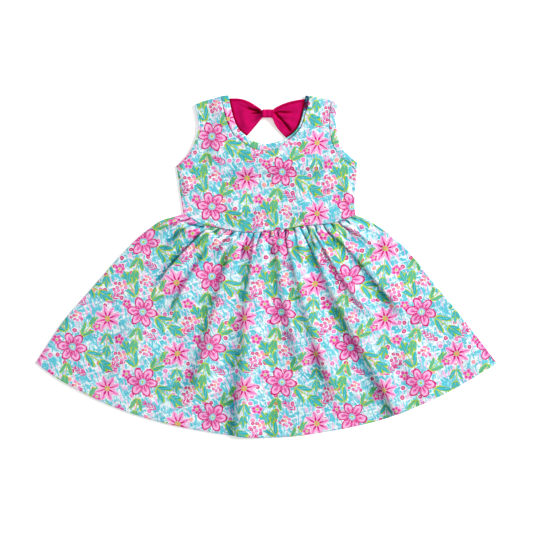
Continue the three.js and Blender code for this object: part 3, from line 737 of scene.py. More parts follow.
def back_band_width(t):
    """Width of the band round the back opening."""
    return np.full(np.shape(t), bpy.context.scene.dress_sizes.back_band_width / MM)


def armhole_inner(arm, width):
    """Inner edge of a band round an armhole, from the shoulder seam to the side seam."""
    armhole, shoulder, side, inward = ARMS[arm]
    return pin_ends(offset(armhole, width * inward), place_on(shoulder, width), place_on(side, width))


def front_neck_gap(t):
    """Gap between the front neck band and the bodice; it opens where the band is rolled under."""
    return SEAM_GAP + smooth(t, *NECK_ROLL) * NECK_ROLL_GAP


def neck_outer(neck, width):
    """Seamed edge of a band of a given width round a neck, from the left shoulder to the right one."""
    def start(shoulder, t):
        return float(np.linalg.norm(shoulder(START) - neck(t)) - width(t))

    return pin_ends(
        offset(neck, lambda t: -width(t)),
        place_on(shoulder_left, start(shoulder_left, START)),
        place_on(shoulder_right, start(shoulder_right, END)),
    )


def front_bodice_level(x, y):
    """Underside of the front bodice: lifted over the bow's ends, low at the side seams."""
    aside = np.abs(x)
    over_bow = smooth(y, *LIFT_ABOVE) * (1 - smooth(aside, *LIFT_INSIDE))
    inside = np.where(y > UNDERARM, 1.0, 1 - smooth(aside, CHEST_HALF - SEAM_RAMP, CHEST_HALF))
    creases = crease_relief(BODICE_CREASES, x, y)[0] * smooth(y, *CREASES_END)
    return SEAM_LEVEL + (FRONT_LEVEL - SEAM_LEVEL + creases) * inside + BOW_LIFT * over_bow


def moved(curve, x, y):
    """A curve moved by a fixed step."""
    return lambda t: curve(t) + np.array((x, y))


def bodice_blocks(neck_edge, left_arm, right_arm, split):
    """The blocks of a bodice panel, a body and two straps, with the lengths along and up each."""
    waist_edge = moved(waist, 0, SEAM_GAP / 2)
    left_split = straight(left_arm(END), neck_edge(np.array(split[0])))
    right_split = straight(neck_edge(np.array(split[1])), right_arm(END))
    strap_length, middle_length = length_of(left_split), length_of(stretch(neck_edge, *split))
    share = strap_length / (2 * strap_length + middle_length)
    body = {
        "bottom": waist_edge,
        "top": chain(
            (share, left_split), (1 - 2 * share, stretch(neck_edge, *split)), (share, right_split),
        ),
        "left": pin_ends(lambda v: side_left(1 - v), waist_edge(START), left_arm(END)),
        "right": pin_ends(lambda v: side_right(1 - v), waist_edge(END), right_arm(END)),
    }
    left_strap = {
        "bottom": left_split,
        "top": straight(left_arm(START), neck_edge(START)),
        "left": lambda v: left_arm(1 - v),
        "right": stretch(neck_edge, split[0], 0),
    }
    right_strap = {
        "bottom": right_split,
        "top": straight(neck_edge(END), right_arm(START)),
        "left": stretch(neck_edge, split[1], 1),
        "right": lambda v: right_arm(1 - v),
    }
    return body, left_strap, right_strap, share


def bodice_sheet(neck_edge, arms, split, cell, level, lipped):
    """A bodice panel as one mesh, from its waist seam to its shoulders. A lipped one turns down at its
    edges, and the other one rests flat."""
    left_arm, right_arm = (armhole_inner(arm, width + SEAM_GAP) for arm, width in arms.items())
    body, left_strap, right_strap, share = bodice_blocks(neck_edge, left_arm, right_arm, split)
    strap_columns = spaced(length_of(left_strap["bottom"]), cell)
    middle_columns = np.linspace(0, 1, int(length_of(stretch(neck_edge, *split)) / cell))
    body_columns = np.concatenate([
        strap_columns * share,
        share + middle_columns[1:-1] * (1 - 2 * share),
        1 - share + strap_columns * share,
    ])
    strap_rows = spaced(length_of(left_strap["left"]), cell)
    body_rows = spaced(length_of(body["left"]) * 1.2, cell)
    edges = [
        (body["bottom"], "waist"), (body["left"], "side"), (body["right"], "side"), (neck_edge, "band"),
        (left_arm, "band"), (right_arm, "band"), (left_strap["top"], "side"), (right_strap["top"], "side"),
    ]
    edges = edges if lipped else []
    bm = bmesh.new()
    for block, columns, rows in (
        (body, body_columns, body_rows),
        (left_strap, strap_columns, strap_rows),
        (right_strap, strap_columns, strap_rows),
    ):
        def place(u, v, block=block, columns=columns, rows=rows):
            points = patch_points(block, u, v)
            x, y = points[:, 0], points[:, 1]
            drop, dark = lip_drop(points, edges)
            z = level(x, y)
            # Painted shade in the hollows of the cloth and along its seams
            hollow = np.maximum(hollow_shade(z, len(columns), len(rows)), dark)
            return x, y, z - drop, x, y, hollow

        grid_sheet(bm, columns, rows, place)
    return bm


def skirt_patch(inset):
    """Edges of a skirt panel: waist seam, side seams and hem."""
    slant = inset * math.sqrt(0.5)
    waist_edge = moved(waist, 0, -SEAM_GAP / 2)
    hem = curve_through([(x, y + inset) for x, y in HEM])
    left = curve_through([(x + slant, y - slant) for x, y in SKIRT_LEFT])
    right = curve_through([(x - slant, y - slant) for x, y in SKIRT_RIGHT])
    return {
        "bottom": pin_ends(hem, left(END), right(END)),
        "top": waist_edge,
        "left": pin_ends(lambda v: left(1 - v), left(END), waist_edge(START)),
        "right": pin_ends(lambda v: right(1 - v), right(END), waist_edge(END)),
    }


def gather_relief(along, below):
    """Height of the gathers at a place along the waist seam and a distance below it: round ridges with
    sharp valleys between them, which spread and flatten downwards."""
    height = np.zeros_like(along)
    for at, run, tall, half in GATHERS:
        wide = half * GATHER_WIDTH * (1 + 0.2 * np.clip(below / run, 0, 2))
        aside = (along - at) * waist_length / wide
        ridge = np.clip(1 - aside**4, 0, 1) ** 0.6
        height = np.maximum(height, GATHER_HEIGHT * tall * ridge * (1 - smooth(below, run / 3, run * 2)))
    return height


def skirt_sheet(inset, columns, rows, level, lean, lipped):
    """A skirt panel as one mesh. level takes x, y, u, the distance below the waist and the share in
    from the side seams. A lipped one turns down at its edges, and the other one rests flat."""
    patch = skirt_patch(inset)
    hem_length = length_of(patch["bottom"])
    edges = [
        (patch["top"], "waist"), (patch["left"], "side"), (patch["right"], "side"), (patch["bottom"], "hem"),
    ]
    edges = edges if lipped else []

    def place(u, v):
        points = patch_points(patch, u, v)
        x, y = points[:, 0], points[:, 1]
        below = np.linalg.norm(patch["top"](u) - points, axis=1)
        row_length = hem_length + (waist_length - hem_length) * v
        inside = smooth(np.minimum(u, 1 - u) * row_length, 0, SEAM_RAMP)
        z, move_x, move_y = level(x, y, u, below, inside)
        drop, dark = lip_drop(points, edges)
        # Painted shade in the hollows of the cloth and along its seams
        hollow = np.maximum(hollow_shade(z, len(columns), len(rows)), dark)
        z = z - drop
        stays = inside * smooth(below, 0, 12) * lean
        print_u = x + unrolled(len(columns), len(rows), x, z)
        held = smooth(v * length_of(patch["left"]), 0, 1)
        return x + move_x * stays, y + move_y * stays * held, z, print_u, y, hollow

    bm = bmesh.new()
    grid_sheet(bm, columns, rows, place)
    return bm


# Print and cloth materials

def add(tree, kind, inputs=None, stops=None, **settings):
    """Adds a node with its settings and colour stops, and sets or links its inputs."""
    node = tree.nodes.new(kind)
    for name, value in settings.items():
        setattr(node, name, value)
    if stops:
        elements = node.color_ramp.elements
        while len(elements) < len(stops):
            elements.new(0.5)
        for element, (place, colour, cover) in zip(elements, stops):
            element.position = place
            element.color = (*colour[:3], cover)
    for name, value in (inputs or {}).items():
        if isinstance(value, bpy.types.NodeSocket):
            tree.links.new(value, node.inputs[name])
        else:
            node.inputs[name].default_value = value
    return node


def maths(tree, operation, *values):
    """A number worked out from others."""
    return add(tree, "ShaderNodeMath", dict(enumerate(values)), operation=operation).outputs[0]


def vectors(tree, operation, *values):
    """A vector worked out from others, or the number that the operation gives."""
    node = add(tree, "ShaderNodeVectorMath", dict(enumerate(values)), operation=operation)
    return node.outputs["Value" if operation in ("LENGTH", "DOT_PRODUCT") else "Vector"]


def ranged(tree, value, low, high, at_low, at_high):
    """A number moved from one range to another."""
    inputs = dict(enumerate((value, low, high, at_low, at_high)))
    return add(tree, "ShaderNodeMapRange", inputs).outputs[0]


def scaled(tree, colour, share):
    """A colour made lighter or darker by a share."""
    return add(tree, "ShaderNodeVectorMath", {0: colour, "Scale": share}, operation="SCALE").outputs[0]


def mixed(tree, share, under, over, blend="MIX"):
    """A share of one colour over another."""
    inputs = {0: share, 6: under, 7: over}
    return add(tree, "ShaderNodeMix", inputs, data_type="RGBA", blend_type=blend).outputs[2]


def point(tree, x, y):
    """A point from its two coordinates."""
    return add(tree, "ShaderNodeCombineXYZ", {0: x, 1: y}).outputs[0]


def uneven(tree, where, scale, detail, roughness=0.5):
    """The two outputs of soft noise: a number and a colour."""
    inputs = {"Vector": where, "Scale": scale, "Detail": detail, "Roughness": roughness}
    return add(tree, "ShaderNodeTexNoise", inputs, noise_dimensions="2D").outputs


def cells(tree, where, pitch, randomness):
    """The outputs of scattered cells, a pitch apart."""
    inputs = {"Vector": where, "Scale": 1 / pitch, "Randomness": randomness}
    return add(tree, "ShaderNodeTexVoronoi", inputs, voronoi_dimensions="2D").outputs


def dye(name):
    """A dye of the print or the bow."""
    return getattr(bpy.context.scene.dress_colours, name)


def ramp(tree, shape, stops):
    """Colours along a shape. A stop has its place, its dye and its cover, full where none is given."""
    filled = [(place, dye(name), cover[0] if cover else 1) for place, name, *cover in stops]
    return add(tree, "ShaderNodeValToRGB", {0: shape}, stops=filled).outputs


def layer_over(tree, under, shape, stops):
    """Paints the stops of a shape over what is under it; their cover says where."""
    colours = ramp(tree, shape, stops)
    return mixed(tree, colours["Alpha"], under, colours["Color"])


def motif_place(tree, spot, centre, turn, size):
    """Coordinates inside one motif, in units of its size, at a centre in every repeat of the print.
    The repeats stand in columns, each half a repeat higher than the one before."""
    repeat = bpy.context.scene.dress_sizes.repeat / MM
    x, y = centre
    from_centre = vectors(tree, "SUBTRACT", spot, (x / repeat, (y - x / 2) / repeat, 0))
    here = vectors(tree, "WRAP", from_centre, (0.5,) * 3, (-0.5,) * 3)
    c, s, k = math.cos(turn), math.sin(turn), repeat / size
    along = vectors(tree, "DOT_PRODUCT", here, ((c + s / 2) * k, s * k, 0))
    across = vectors(tree, "DOT_PRODUCT", here, ((c / 2 - s) * k, c * k, 0))
    return along, across


def polar_fold(tree, along, across, count):
    """The same coordinates folded into one petal of count, pointing along the first axis."""
    angle = maths(tree, "ARCTAN2", across, along)
    fold = maths(tree, "WRAP", angle, math.pi / count, -math.pi / count)
    radius = vectors(tree, "LENGTH", point(tree, along, across))
    out = maths(tree, "MULTIPLY", radius, maths(tree, "COSINE", fold))
    side = maths(tree, "MULTIPLY", radius, maths(tree, "SINE", fold))
    return out, side, radius


def oval(tree, out, side, centre, half_length, half_width):
    """How far a point is inside an oval: 0 at its middle and 1 at its edge."""
    scale, shift = (1 / half_length, 1 / half_width, 0), (-centre / half_length, 0, 0)
    return vectors(tree, "LENGTH", vectors(tree, "MULTIPLY_ADD", point(tree, out, side), scale, shift))


def pointed(tree, out, side, centre, half_length, half_width):
    """How far a point is inside a leaf shape with two points: 0 on its vein and 1 at its edge."""
    gone = maths(tree, "MULTIPLY_ADD", out, 1 / half_length, -centre / half_length)
    width = maths(tree, "SUBTRACT", 1.0, maths(tree, "MULTIPLY", gone, gone))
    share = maths(tree, "DIVIDE", maths(tree, "ABSOLUTE", side), maths(tree, "MAXIMUM", width, 0.001))
    return maths(tree, "MULTIPLY", share, 1 / half_width)


def streaked(tree, out, side, pitch, centre, half_length, half_width):
    """Fine brush lines along a petal, a pitch apart: 0 in the middle of a line and 1 at its edge."""
    near = maths(tree, "WRAP", side, pitch / 2, -pitch / 2)
    shorter = maths(tree, "MULTIPLY_ADD", maths(tree, "ABSOLUTE", side), 0.9, out)
    return pointed(tree, shorter, near, centre, half_length, half_width)


SHAPES = {"oval": oval, "leaf": pointed, "lines": streaked}


def brushed(tree, shape, streaks, amount):
    """A shape with uneven, brushed edges."""
    return maths(tree, "MULTIPLY_ADD", streaks, amount, shape)


def flower(tree, under, spot, streaks, kind, centre, turn, size):
    """A flower with like petals round its heart, painted in layers."""
    petals, layers = FLOWER_KINDS[kind]
    along, across = motif_place(tree, spot, centre, turn, size)
    out, side, radius = polar_fold(tree, along, across, petals)
    for name, numbers, amount, stops in layers:
        shape = SHAPES[name](tree, out, side, *numbers) if numbers else radius
        under = layer_over(tree, under, brushed(tree, shape, streaks, amount), stops)
    return under


def spray(tree, under, spot, streaks, kind, centre, turn, size, pairs, slant, width):
    """A stem with a leaf at its tip and pairs of leaflets that get shorter towards it."""
    stops = SPRAY_KINDS[kind]
    along, across = motif_place(tree, spot, centre, turn, size)
    aside = maths(tree, "ABSOLUTE", across)
    foot = maths(tree, "MULTIPLY_ADD", aside, -1 / math.tan(slant), along)
    counted = maths(tree, "MULTIPLY_ADD", foot, pairs / 2, pairs / 2)
    number = maths(tree, "FLOOR", counted)
    inside = maths(tree, "SUBTRACT", counted, number)
    step = math.sin(slant) / pairs
    between = maths(tree, "MULTIPLY_ADD", inside, 2 * step, -step)
    reach = ranged(tree, number, 0, pairs - 1, *LEAFLET_REACH)
    first = maths(tree, "GREATER_THAN", number, -0.5)
    last = maths(tree, "LESS_THAN", number, pairs - 0.5)
    length = maths(tree, "MULTIPLY_ADD", reach, maths(tree, "MULTIPLY", first, last), 0.001)
    gone = maths(tree, "MULTIPLY", aside, 1 / math.sin(slant))
    leaflet = pointed(tree, maths(tree, "DIVIDE", gone, length), between, 0.5, 0.5, width)
    tip = pointed(tree, along, across, 1.0, 0.5, width * TIP_WIDTH)
    leaves = maths(tree, "MINIMUM", leaflet, tip)
    under = layer_over(tree, under, brushed(tree, leaves, streaks, LEAF_BRUSHED), stops)
    edge, rim = stops[-3][1], stops[-1][1]
    return layer_over(tree, under, pointed(tree, along, across, *STEM), [
        (0.0, edge), (0.9, edge), (1.1, rim, 0),
    ])


def berries(tree, under, spot, centre, turn, size, pitch):
    """A cluster of berries in pinks, each with a white rim."""
    dots = cells(tree, point(tree, *motif_place(tree, spot, centre, turn, size)), pitch, 0.5)
    outside = maths(tree, "GREATER_THAN", vectors(tree, "LENGTH", dots["Position"]), CLUSTER)
    return dotted(tree, under, maths(tree, "ADD", dots["Distance"], outside), dots["Color"])


def scattered_dots(tree, under, where):
    """Single dots between the motifs, with some left out."""
    dots = cells(tree, where, DOT_PITCH, 0.7)
    draw = add(tree, "ShaderNodeSeparateColor", {0: dots["Color"]}).outputs[1]
    left_out = maths(tree, "GREATER_THAN", draw, DOTS_KEPT)
    shape = maths(tree, "MULTIPLY_ADD", dots["Distance"], DOT_SHRINKS, left_out)
    return dotted(tree, under, shape, dots["Color"])


def dotted(tree, under, shape, draw):
    """Round dabs of pink with a lighter middle and a white rim."""
    tint = ramp(tree, add(tree, "ShaderNodeSeparateColor", {0: draw}).outputs[0], BERRY_DYES)
    ball = mixed(tree, ranged(tree, shape, 0.1, 0.34, 0.55, 0.0), tint[0], dye("blush"))
    with_rim = mixed(tree, ranged(tree, shape, 0.56, 0.66, 1, 0), under, dye("white"))
    return mixed(tree, ranged(tree, shape, 0.41, 0.47, 1, 0), with_rim, ball)


def brushed_ground(tree, where):
    """The ground of the print: aqua under soft strokes of pale aqua and white, with some of teal."""
    under = dye("aqua")
    for turn, long, wide, stops in GROUND:
        inputs = {"Vector": where, "Rotation": (0, 0, turn), "Scale": (long, wide, 1)}
        lay = add(tree, "ShaderNodeMapping", inputs, vector_type="TEXTURE")
        under = layer_over(tree, under, uneven(tree, lay.outputs[0], 1.0, 1.0)[0], stops)
    return under


def flower_print(tree, where):
    """The colour of the flower print at a point of the cloth, with painted shade in the cloth's hollows."""
    repeat = bpy.context.scene.dress_sizes.repeat
    hand = uneven(tree, where, 60, 3, 0.6)["Color"]
    wobble, back = (HAND_WOBBLE, HAND_WOBBLE, 0), (-HAND_WOBBLE / 2, -HAND_WOBBLE / 2, 0)
    painted = vectors(tree, "ADD", where, vectors(tree, "MULTIPLY_ADD", hand, wobble, back))
    bristles = uneven(tree, painted, 330, 2)[0]
    streaks = maths(tree, "SUBTRACT", bristles, 0.5)
    across = vectors(tree, "DOT_PRODUCT", painted, (1 / repeat, 0, 0))
    up = vectors(tree, "DOT_PRODUCT", painted, (-0.5 / repeat, 1 / repeat, 0))
    spot = point(tree, across, up)
    colour = scattered_dots(tree, brushed_ground(tree, painted), painted)
    for row in SPRAYS:
        colour = spray(tree, colour, spot, streaks, *row)
    for row in BERRIES:
        colour = berries(tree, colour, spot, *row)
    for row in FLOWERS:
        colour = flower(tree, colour, spot, streaks, *row)
    washed = scaled(tree, colour, ranged(tree, bristles, 0.3, 0.7, *WASH))
    return shade_the_hollows(tree, washed, PRINT_SHADE_TINT)


def bow_dye(tree, where):
    """The even dye of the bow, with painted shade in its creases and hollows."""
    full = dye("bow")
    deep = tuple(c * BOW_DEEP for c in full[:3])
    spread = uneven(tree, where, 90, 3)[0]
    tint = add(tree, "ShaderNodeValToRGB", {0: spread}, stops=[(0.35, deep, 1), (0.65, full, 1)])
    return shade_the_hollows(tree, tint.outputs[0], BOW_HOLLOW_SHADE)


def shade_the_hollows(tree, colour, shade):
    """Paints shade into a dye in the hollows of the cloth, where light bounces from wall to wall: tints,
    deepens and darkens it there.
    """
    hollow = add(tree, "ShaderNodeAttribute", attribute_name="hollow").outputs["Fac"]
    power = maths(tree, "MULTIPLY_ADD", hollow, HOLLOW_DEEPENS, 1.0)
    left = maths(tree, "MULTIPLY_ADD", hollow, -HOLLOW_DARKENS, 1.0)
    cooler = mixed(tree, hollow, colour, linear(shade), "MULTIPLY")
    deeper = add(tree, "ShaderNodeGamma", {"Color": cooler, "Gamma": power}).outputs[0]
    return scaled(tree, deeper, left)


def knit_bump(tree, where, height):
    """The fine ribs of jersey. Real wales are about 0.7 mm apart, drawn a little coarser so they show."""
    ribs = add(tree, "ShaderNodeMapping", {"Vector": where, "Scale": (1 / WALE, 0.8 / WALE, 1)})
    inputs = {
        "Vector": ribs.outputs[0], "Scale": 0.314, "Distortion": 1.2, "Detail": 1.0, "Detail Scale": 2.0,
    }
    stitch = add(tree, "ShaderNodeTexWave", inputs, wave_type="BANDS", bands_direction="X").outputs[1]
    both = maths(tree, "ADD", stitch, uneven(tree, where, 700, 2)[0])
    return add(tree, "ShaderNodeBump", {"Height": both, "Strength": 0.35, "Distance": height}).outputs[0]


def jersey(name, paint, rib, look):
    """The jersey of a name: its dye and painted shade, its fine ribs of a height and how it takes the light.
    """
    found = bpy.data.materials.get(name)
    if found:
        return found
    material = bpy.data.materials.new(name)
    material.use_nodes = True
    tree = material.node_tree
    tree.nodes.clear()
    where = add(tree, "ShaderNodeUVMap", uv_map="cloth").outputs[0]
    inputs = {"Base Color": paint(tree, where), "Normal": knit_bump(tree, where, rib), **look}
    shader = add(tree, "ShaderNodeBsdfPrincipled", inputs)
    add(tree, "ShaderNodeOutputMaterial", {"Surface": shader.outputs[0]})
    return material


def printed_jersey():
    """Cotton jersey with a printed design and painted shade in its hollows: a soft, matt knit with fine ribs
    and a faint bloom of fibre.
    """
    return jersey("printed_jersey", flower_print, 0.0002, {
        "Roughness": 0.85, "Specular IOR Level": 0.12, "Sheen Weight": 0.05, "Sheen Roughness": 0.5,
    })


def pink_jersey():
    """Plain dyed jersey: deep, even pink with painted shade in its creases, and fine ribs."""
    return jersey("pink_jersey", bow_dye, 0.00015, {
        "Roughness": 0.9, "Specular IOR Level": 0.01, "Sheen Weight": 0.01, "Sheen Roughness": 0.4,
    })


# Operators, one for each piece or group of like pieces

class FrontSkirt(bpy.types.Operator):
    """Make the gathered front skirt"""

    bl_idname = "dress.front_skirt"
    bl_label = "Front skirt"

    def execute(self, context):
        sizes = context.scene.dress_sizes
        columns = spaced(SKIRT_SIZE[0], FRONT_CELLS[0])
        rows = spaced(SKIRT_SIZE[1], FRONT_CELLS[1])

        def level(x, y, u, below, inside):
            folds, lean_x, lean_y = crease_relief(SKIRT_FOLDS + WAIST_END_PLEATS, x, y)
            soft = ripple(x, y, 60, 0.9, 3.1) + ripple(x, y, 22, 0.35, 8.3)
            raised = FRONT_LEVEL - SEAM_LEVEL + folds + gather_relief(u, below) + soft + 0.3
            low = np.maximum(SEAM_LEVEL + raised * inside, sizes.cloth / MM + LAYER_GAP)
            return low + sizes.cloth / MM, lean_x, lean_y

        bm = skirt_sheet(0, columns, rows, level, sizes.lean, True)
        cloth_object("front_skirt", bm, printed_jersey(), sizes.cloth)
        return {"FINISHED"}


class BackSkirt(bpy.types.Operator):
    """Make the back skirt, flat where it rests"""

    bl_idname = "dress.back_skirt"
    bl_label = "Back skirt"

    def execute(self, context):
        sizes = context.scene.dress_sizes
        columns, rows = (spaced(size, BACK_CELL) for size in SKIRT_SIZE)

        def level(x, y, u, below, inside):
            still = np.zeros_like(x)
            return still + sizes.cloth / MM, still, still

        bm = skirt_sheet(BACK_INSET, columns, rows, level, 0, False)
        cloth_object("back_skirt", bm, printed_jersey(), sizes.cloth)
        return {"FINISHED"}


class FrontBodice(bpy.types.Operator):
    """Make the front bodice"""

    bl_idname = "dress.front_bodice"
    bl_label = "Front bodice"

    def execute(self, context):
        sizes = context.scene.dress_sizes
        arms = {"left": sizes.rolled_width / MM, "right": sizes.band_width / MM}

        def level(x, y):
            soft = ripple(x, y, 42, 0.5, 5.7) + ripple(x, y, 15, 0.16, 1.3)
            return front_bodice_level(x, y) + soft + sizes.cloth / MM

        neck_edge = neck_outer(front_neck, lambda t: front_band_width(t) + front_neck_gap(t))
        bm = bodice_sheet(neck_edge, arms, FRONT_SPLIT, FRONT_CELLS[0], level, True)
        cloth_object("front_bodice", bm, printed_jersey(), sizes.cloth)
        return {"FINISHED"}


class BackBodice(bpy.types.Operator):
    """Make the back bodice with its deep round opening"""

    bl_idname = "dress.back_bodice"
    bl_label = "Back bodice"

    def execute(self, context):
        sizes = context.scene.dress_sizes
        width = sizes.band_width / MM

        def level(x, y):
            return np.full_like(x, sizes.cloth / MM)

        neck_edge = neck_outer(back_neck, lambda t: back_band_width(t) + SEAM_GAP)
        arms = {"left": width, "right": width}
        bm = bodice_sheet(neck_edge, arms, BACK_SPLIT, BACK_BODICE_CELL, level, False)
        cloth_object("back_bodice", bm, printed_jersey(), sizes.cloth)
        return {"FINISHED"}


class NeckBands(bpy.types.Operator):
    """Make the bands round the front neck and the back opening"""

    bl_idname = "dress.neck_bands"
    bl_label = "Neck bands"

    def execute(self, context):
        thick = context.scene.dress_sizes.band_cloth / MM
        for node, neck, width, level in (
            ("neck_band", front_neck, front_band_width, front_bodice_level),
            ("back_neck_band", back_neck, back_band_width, lambda x, y: 0 * x),
        ):
            outer = neck_outer(neck, width)
            ends = (outer, neck)
            edges = [(outer, "band"), (neck, "free")] if node == "neck_band" else []

            def place(u, v, ends=ends, edges=edges, level=level, node=node):
                points = ends[0](u) * (1 - v)[:, None] + ends[1](u) * v[:, None]
                x, y = points[:, 0], points[:, 1]
                puff = 0.35 * (1 - (2 * v - 1) ** 4)
                # Painted shade along the band's seam, and where it sinks at the right shoulder
                drop, dark = lip_drop(points, edges)
                sunk = smooth(u, *SHOULDER_SINKS) * (node == "neck_band")
                dark = np.maximum(dark, sunk * SHOULDER_SHADE)
                z = level(x, y) + thick + puff - drop - SHOULDER_DEPTH * sunk
                return x, y, z, x + NECK_PRINT[0], y + NECK_PRINT[1], dark

            bm = bmesh.new()
            grid_sheet(bm, spaced(length_of(neck), 1.2), np.linspace(0, 1, 15), place)
            cloth_object(node, bm, printed_jersey(), thick * MM)
        return {"FINISHED"}


class ArmholeBands(bpy.types.Operator):
    """Make the band round each armhole, front and back in one loop"""

    bl_idname = "dress.armhole_bands"
    bl_label = "Armhole bands"

    def execute(self, context):
        sizes = context.scene.dress_sizes
        thick, wide = sizes.band_cloth / MM, sizes.band_width / MM
        for arm, shown in (("left", sizes.rolled_width / MM), ("right", wide)):
            bm = bmesh.new()
            loop = arm_loop(arm, shown, wide, thick)
            grid_sheet(bm, np.linspace(0, 1, 181), np.linspace(0, 1, 29), loop)
            cloth_object(f"armhole_band_{arm}", bm, printed_jersey(), closed=True)
        return {"FINISHED"}


def arm_loop(arm, shown, wide, thick):
    """Places the points of an armhole band: round the loop with u, and round its section with v, with
    painted shade along its seam.
    """
    armhole, _, _, inward = ARMS[arm]
    inner = armhole_inner(arm, 1.0)
    radius = FRONT_LEVEL / 2
    middle = radius + thick / 2
    first = (radius + thick / 2) / length_of(armhole)
    turn = math.pi * radius
    run = length_of(armhole) * (1 - 2 * first)

    def place(u, v):
        gone = u * 2 * (run + turn)
        down = np.clip(gone / run, 0, 1)
        under = np.clip((gone - run) / turn, 0, 1)
        up = np.clip((gone - run - turn) / run, 0, 1)
        over = np.clip((gone - 2 * run - turn) / turn, 0, 1)
        at = first + (down - up) * (1 - 2 * first)
        angle = math.pi / 2 - math.pi * (under + over)
        on_back = smooth(np.minimum(up, 1 - up) * (under > 0.999), 0, 0.12)
        width = shown + (wide - shown) * on_back
        edge = armhole(at)
        across = inner(at) - edge
        along = np.stack([across[:, 1], -across[:, 0]], -1) * inward
        along /= np.linalg.norm(along, axis=1, keepdims=True)
        flat = squarer(np.cos(2 * math.pi * v), 0.35)
        lift = squarer(np.sin(2 * math.pi * v), 0.7)
        reach = radius + lift * thick / 2
        side = width * (0.5 - flat * 0.5)
        points = edge + across * side[:, None] + along * (np.cos(angle) * reach)[:, None]
        z = middle + np.sin(angle) * reach
        z = z + 0.2 * np.sin(math.pi * side / width) * (lift > 0) * (np.sin(angle) > 0.9)
        # Painted shade along the band's seamed inner edge
        seam_shade = smooth(side / width, 0.85, 1) * 0.4
        x, y = points[:, 0], points[:, 1]
        return x, y, z, x + ARM_PRINT[0] + 60 * (z < middle), y + ARM_PRINT[1], seam_shade

    return place


class Bow(bpy.types.Operator):
    """Make the bow across the back opening and the knot round its middle"""

    bl_idname = "dress.bow"
    bl_label = "Bow"

    def execute(self, context):
        bm = bmesh.new()
        bow_sheet(bm)
        cloth_object("bow", bm, pink_jersey(), closed=True)
        bm = bmesh.new()
        grid_sheet(bm, np.linspace(0, 1, 97), np.linspace(0, 1, 49), knot_place)
        cloth_object("bow_knot", bm, pink_jersey(), closed=True)
        return {"FINISHED"}


def bow_patch():
    """Edges of the bow, with its ends along the back opening."""
    def end_edge(start, end):
        def at(v):
            points = back_neck(start + (end - start) * np.asarray(v, float))
            return points - np.sign(points[..., :1]) * np.array((SEAM_GAP, 0))
        return at

    left = end_edge(BOW_ENDS["low"], BOW_ENDS["high"])
    right = end_edge(1 - BOW_ENDS["low"], 1 - BOW_ENDS["high"])
    return {
        "bottom": pin_ends(curve_through(BOW_BOTTOM), left(START), right(START)),
        "top": pin_ends(curve_through(BOW_TOP), left(END), right(END)),
        "left": left,
        "right": right,
    }


def bow_sheet(bm):
    """Adds the bow to bm: its upper and lower face as one closed tube, flattened at its two edges, with
    painted shade in its creases, along its upper edge and under the front neck edge.
    """
    patch = bow_patch()

    def place(u, v):
        up = v < 0.5
        across = np.where(up, 2 * v, 2 - 2 * v)
        points = patch_points(patch, u, across)
        x, y = points[:, 0], points[:, 1]
        away = np.abs(x - BOW_CENTRE)
        pinch = 1 - smooth(away, *PINCH_REACH)
        fades = 1 - 0.4 * smooth(away, *CREASE_DIES)
        strength = smooth(away, *CREASE_GROWS) * fades * (1 - 0.5 * pinch)
        folds = np.zeros_like(x)
        for side, place_at, tall, half in BOW_CREASES:
            mine = np.sign(x - BOW_CENTRE) == side
            folds += mine * tall * bell(1 - across - place_at, half)
        folds += crease_relief(BOW_FOLDS, x, y)[0]
        roll = BOW_EDGE_ROLL[0] * bell(np.minimum(across, 1 - across), BOW_EDGE_ROLL[1])
        ends = smooth(u, 0, 0.05) * smooth(1 - u, 0, 0.05)
        # Painted shadow under the front neck edge and a painted shade line along the turned-in upper edge
        from_neck = edge_distance(points, front_neck, length_of(front_neck))
        neck_edge_shadow = 1 - smooth(from_neck, 0, BOW_END_REACH)
        from_top = edge_distance(points, patch["top"], 140)
        rim_crease_shade = BOW_RIM_SHADE[0] * bell(from_top - BOW_RIM_SHADE[1], BOW_RIM_SHADE[2]) * up
        # Painted shade in the bow's creases, along its upper edge and under the front neck edge
        deep = np.maximum(np.maximum(-folds / BOW_HOLLOW, rim_crease_shade), BOW_END_SHADE * neck_edge_shadow)
        low = BOW_END_LEVEL + (PINCH_LEVEL - BOW_END_LEVEL) * pinch
        low = np.maximum(low + BOW_RISE * (1 - pinch) * ends + folds * strength * ends, BOW_END_LEVEL)
        wall = BOW_WALL + (PINCH_THICKNESS - BOW_WALL) * pinch + roll * (1 - pinch)
        lens = np.sqrt(np.clip(1 - (2 * across - 1) ** BOW_ROUND, 0, 1))
        rise = 0.5 * wall * lens
        z = low + wall / 2 + np.where(up, rise, -rise)
        return x, y, z, x + 200 * ~up, y, np.clip(deep, 0, 0.8)

    one_face = spaced(BOW_SIZE[1], 1.5, 2.0, 5)
    rows = np.concatenate([one_face / 2, 0.5 + one_face[1:] / 2])
    grid_sheet(bm, spaced(BOW_SIZE[0], BOW_CELL), rows, place)
    bmesh.ops.remove_doubles(bm, verts=bm.verts, dist=MERGE)
    rims = [e for e in bm.edges if e.is_boundary]
    bmesh.ops.holes_fill(bm, edges=rims, sides=0)


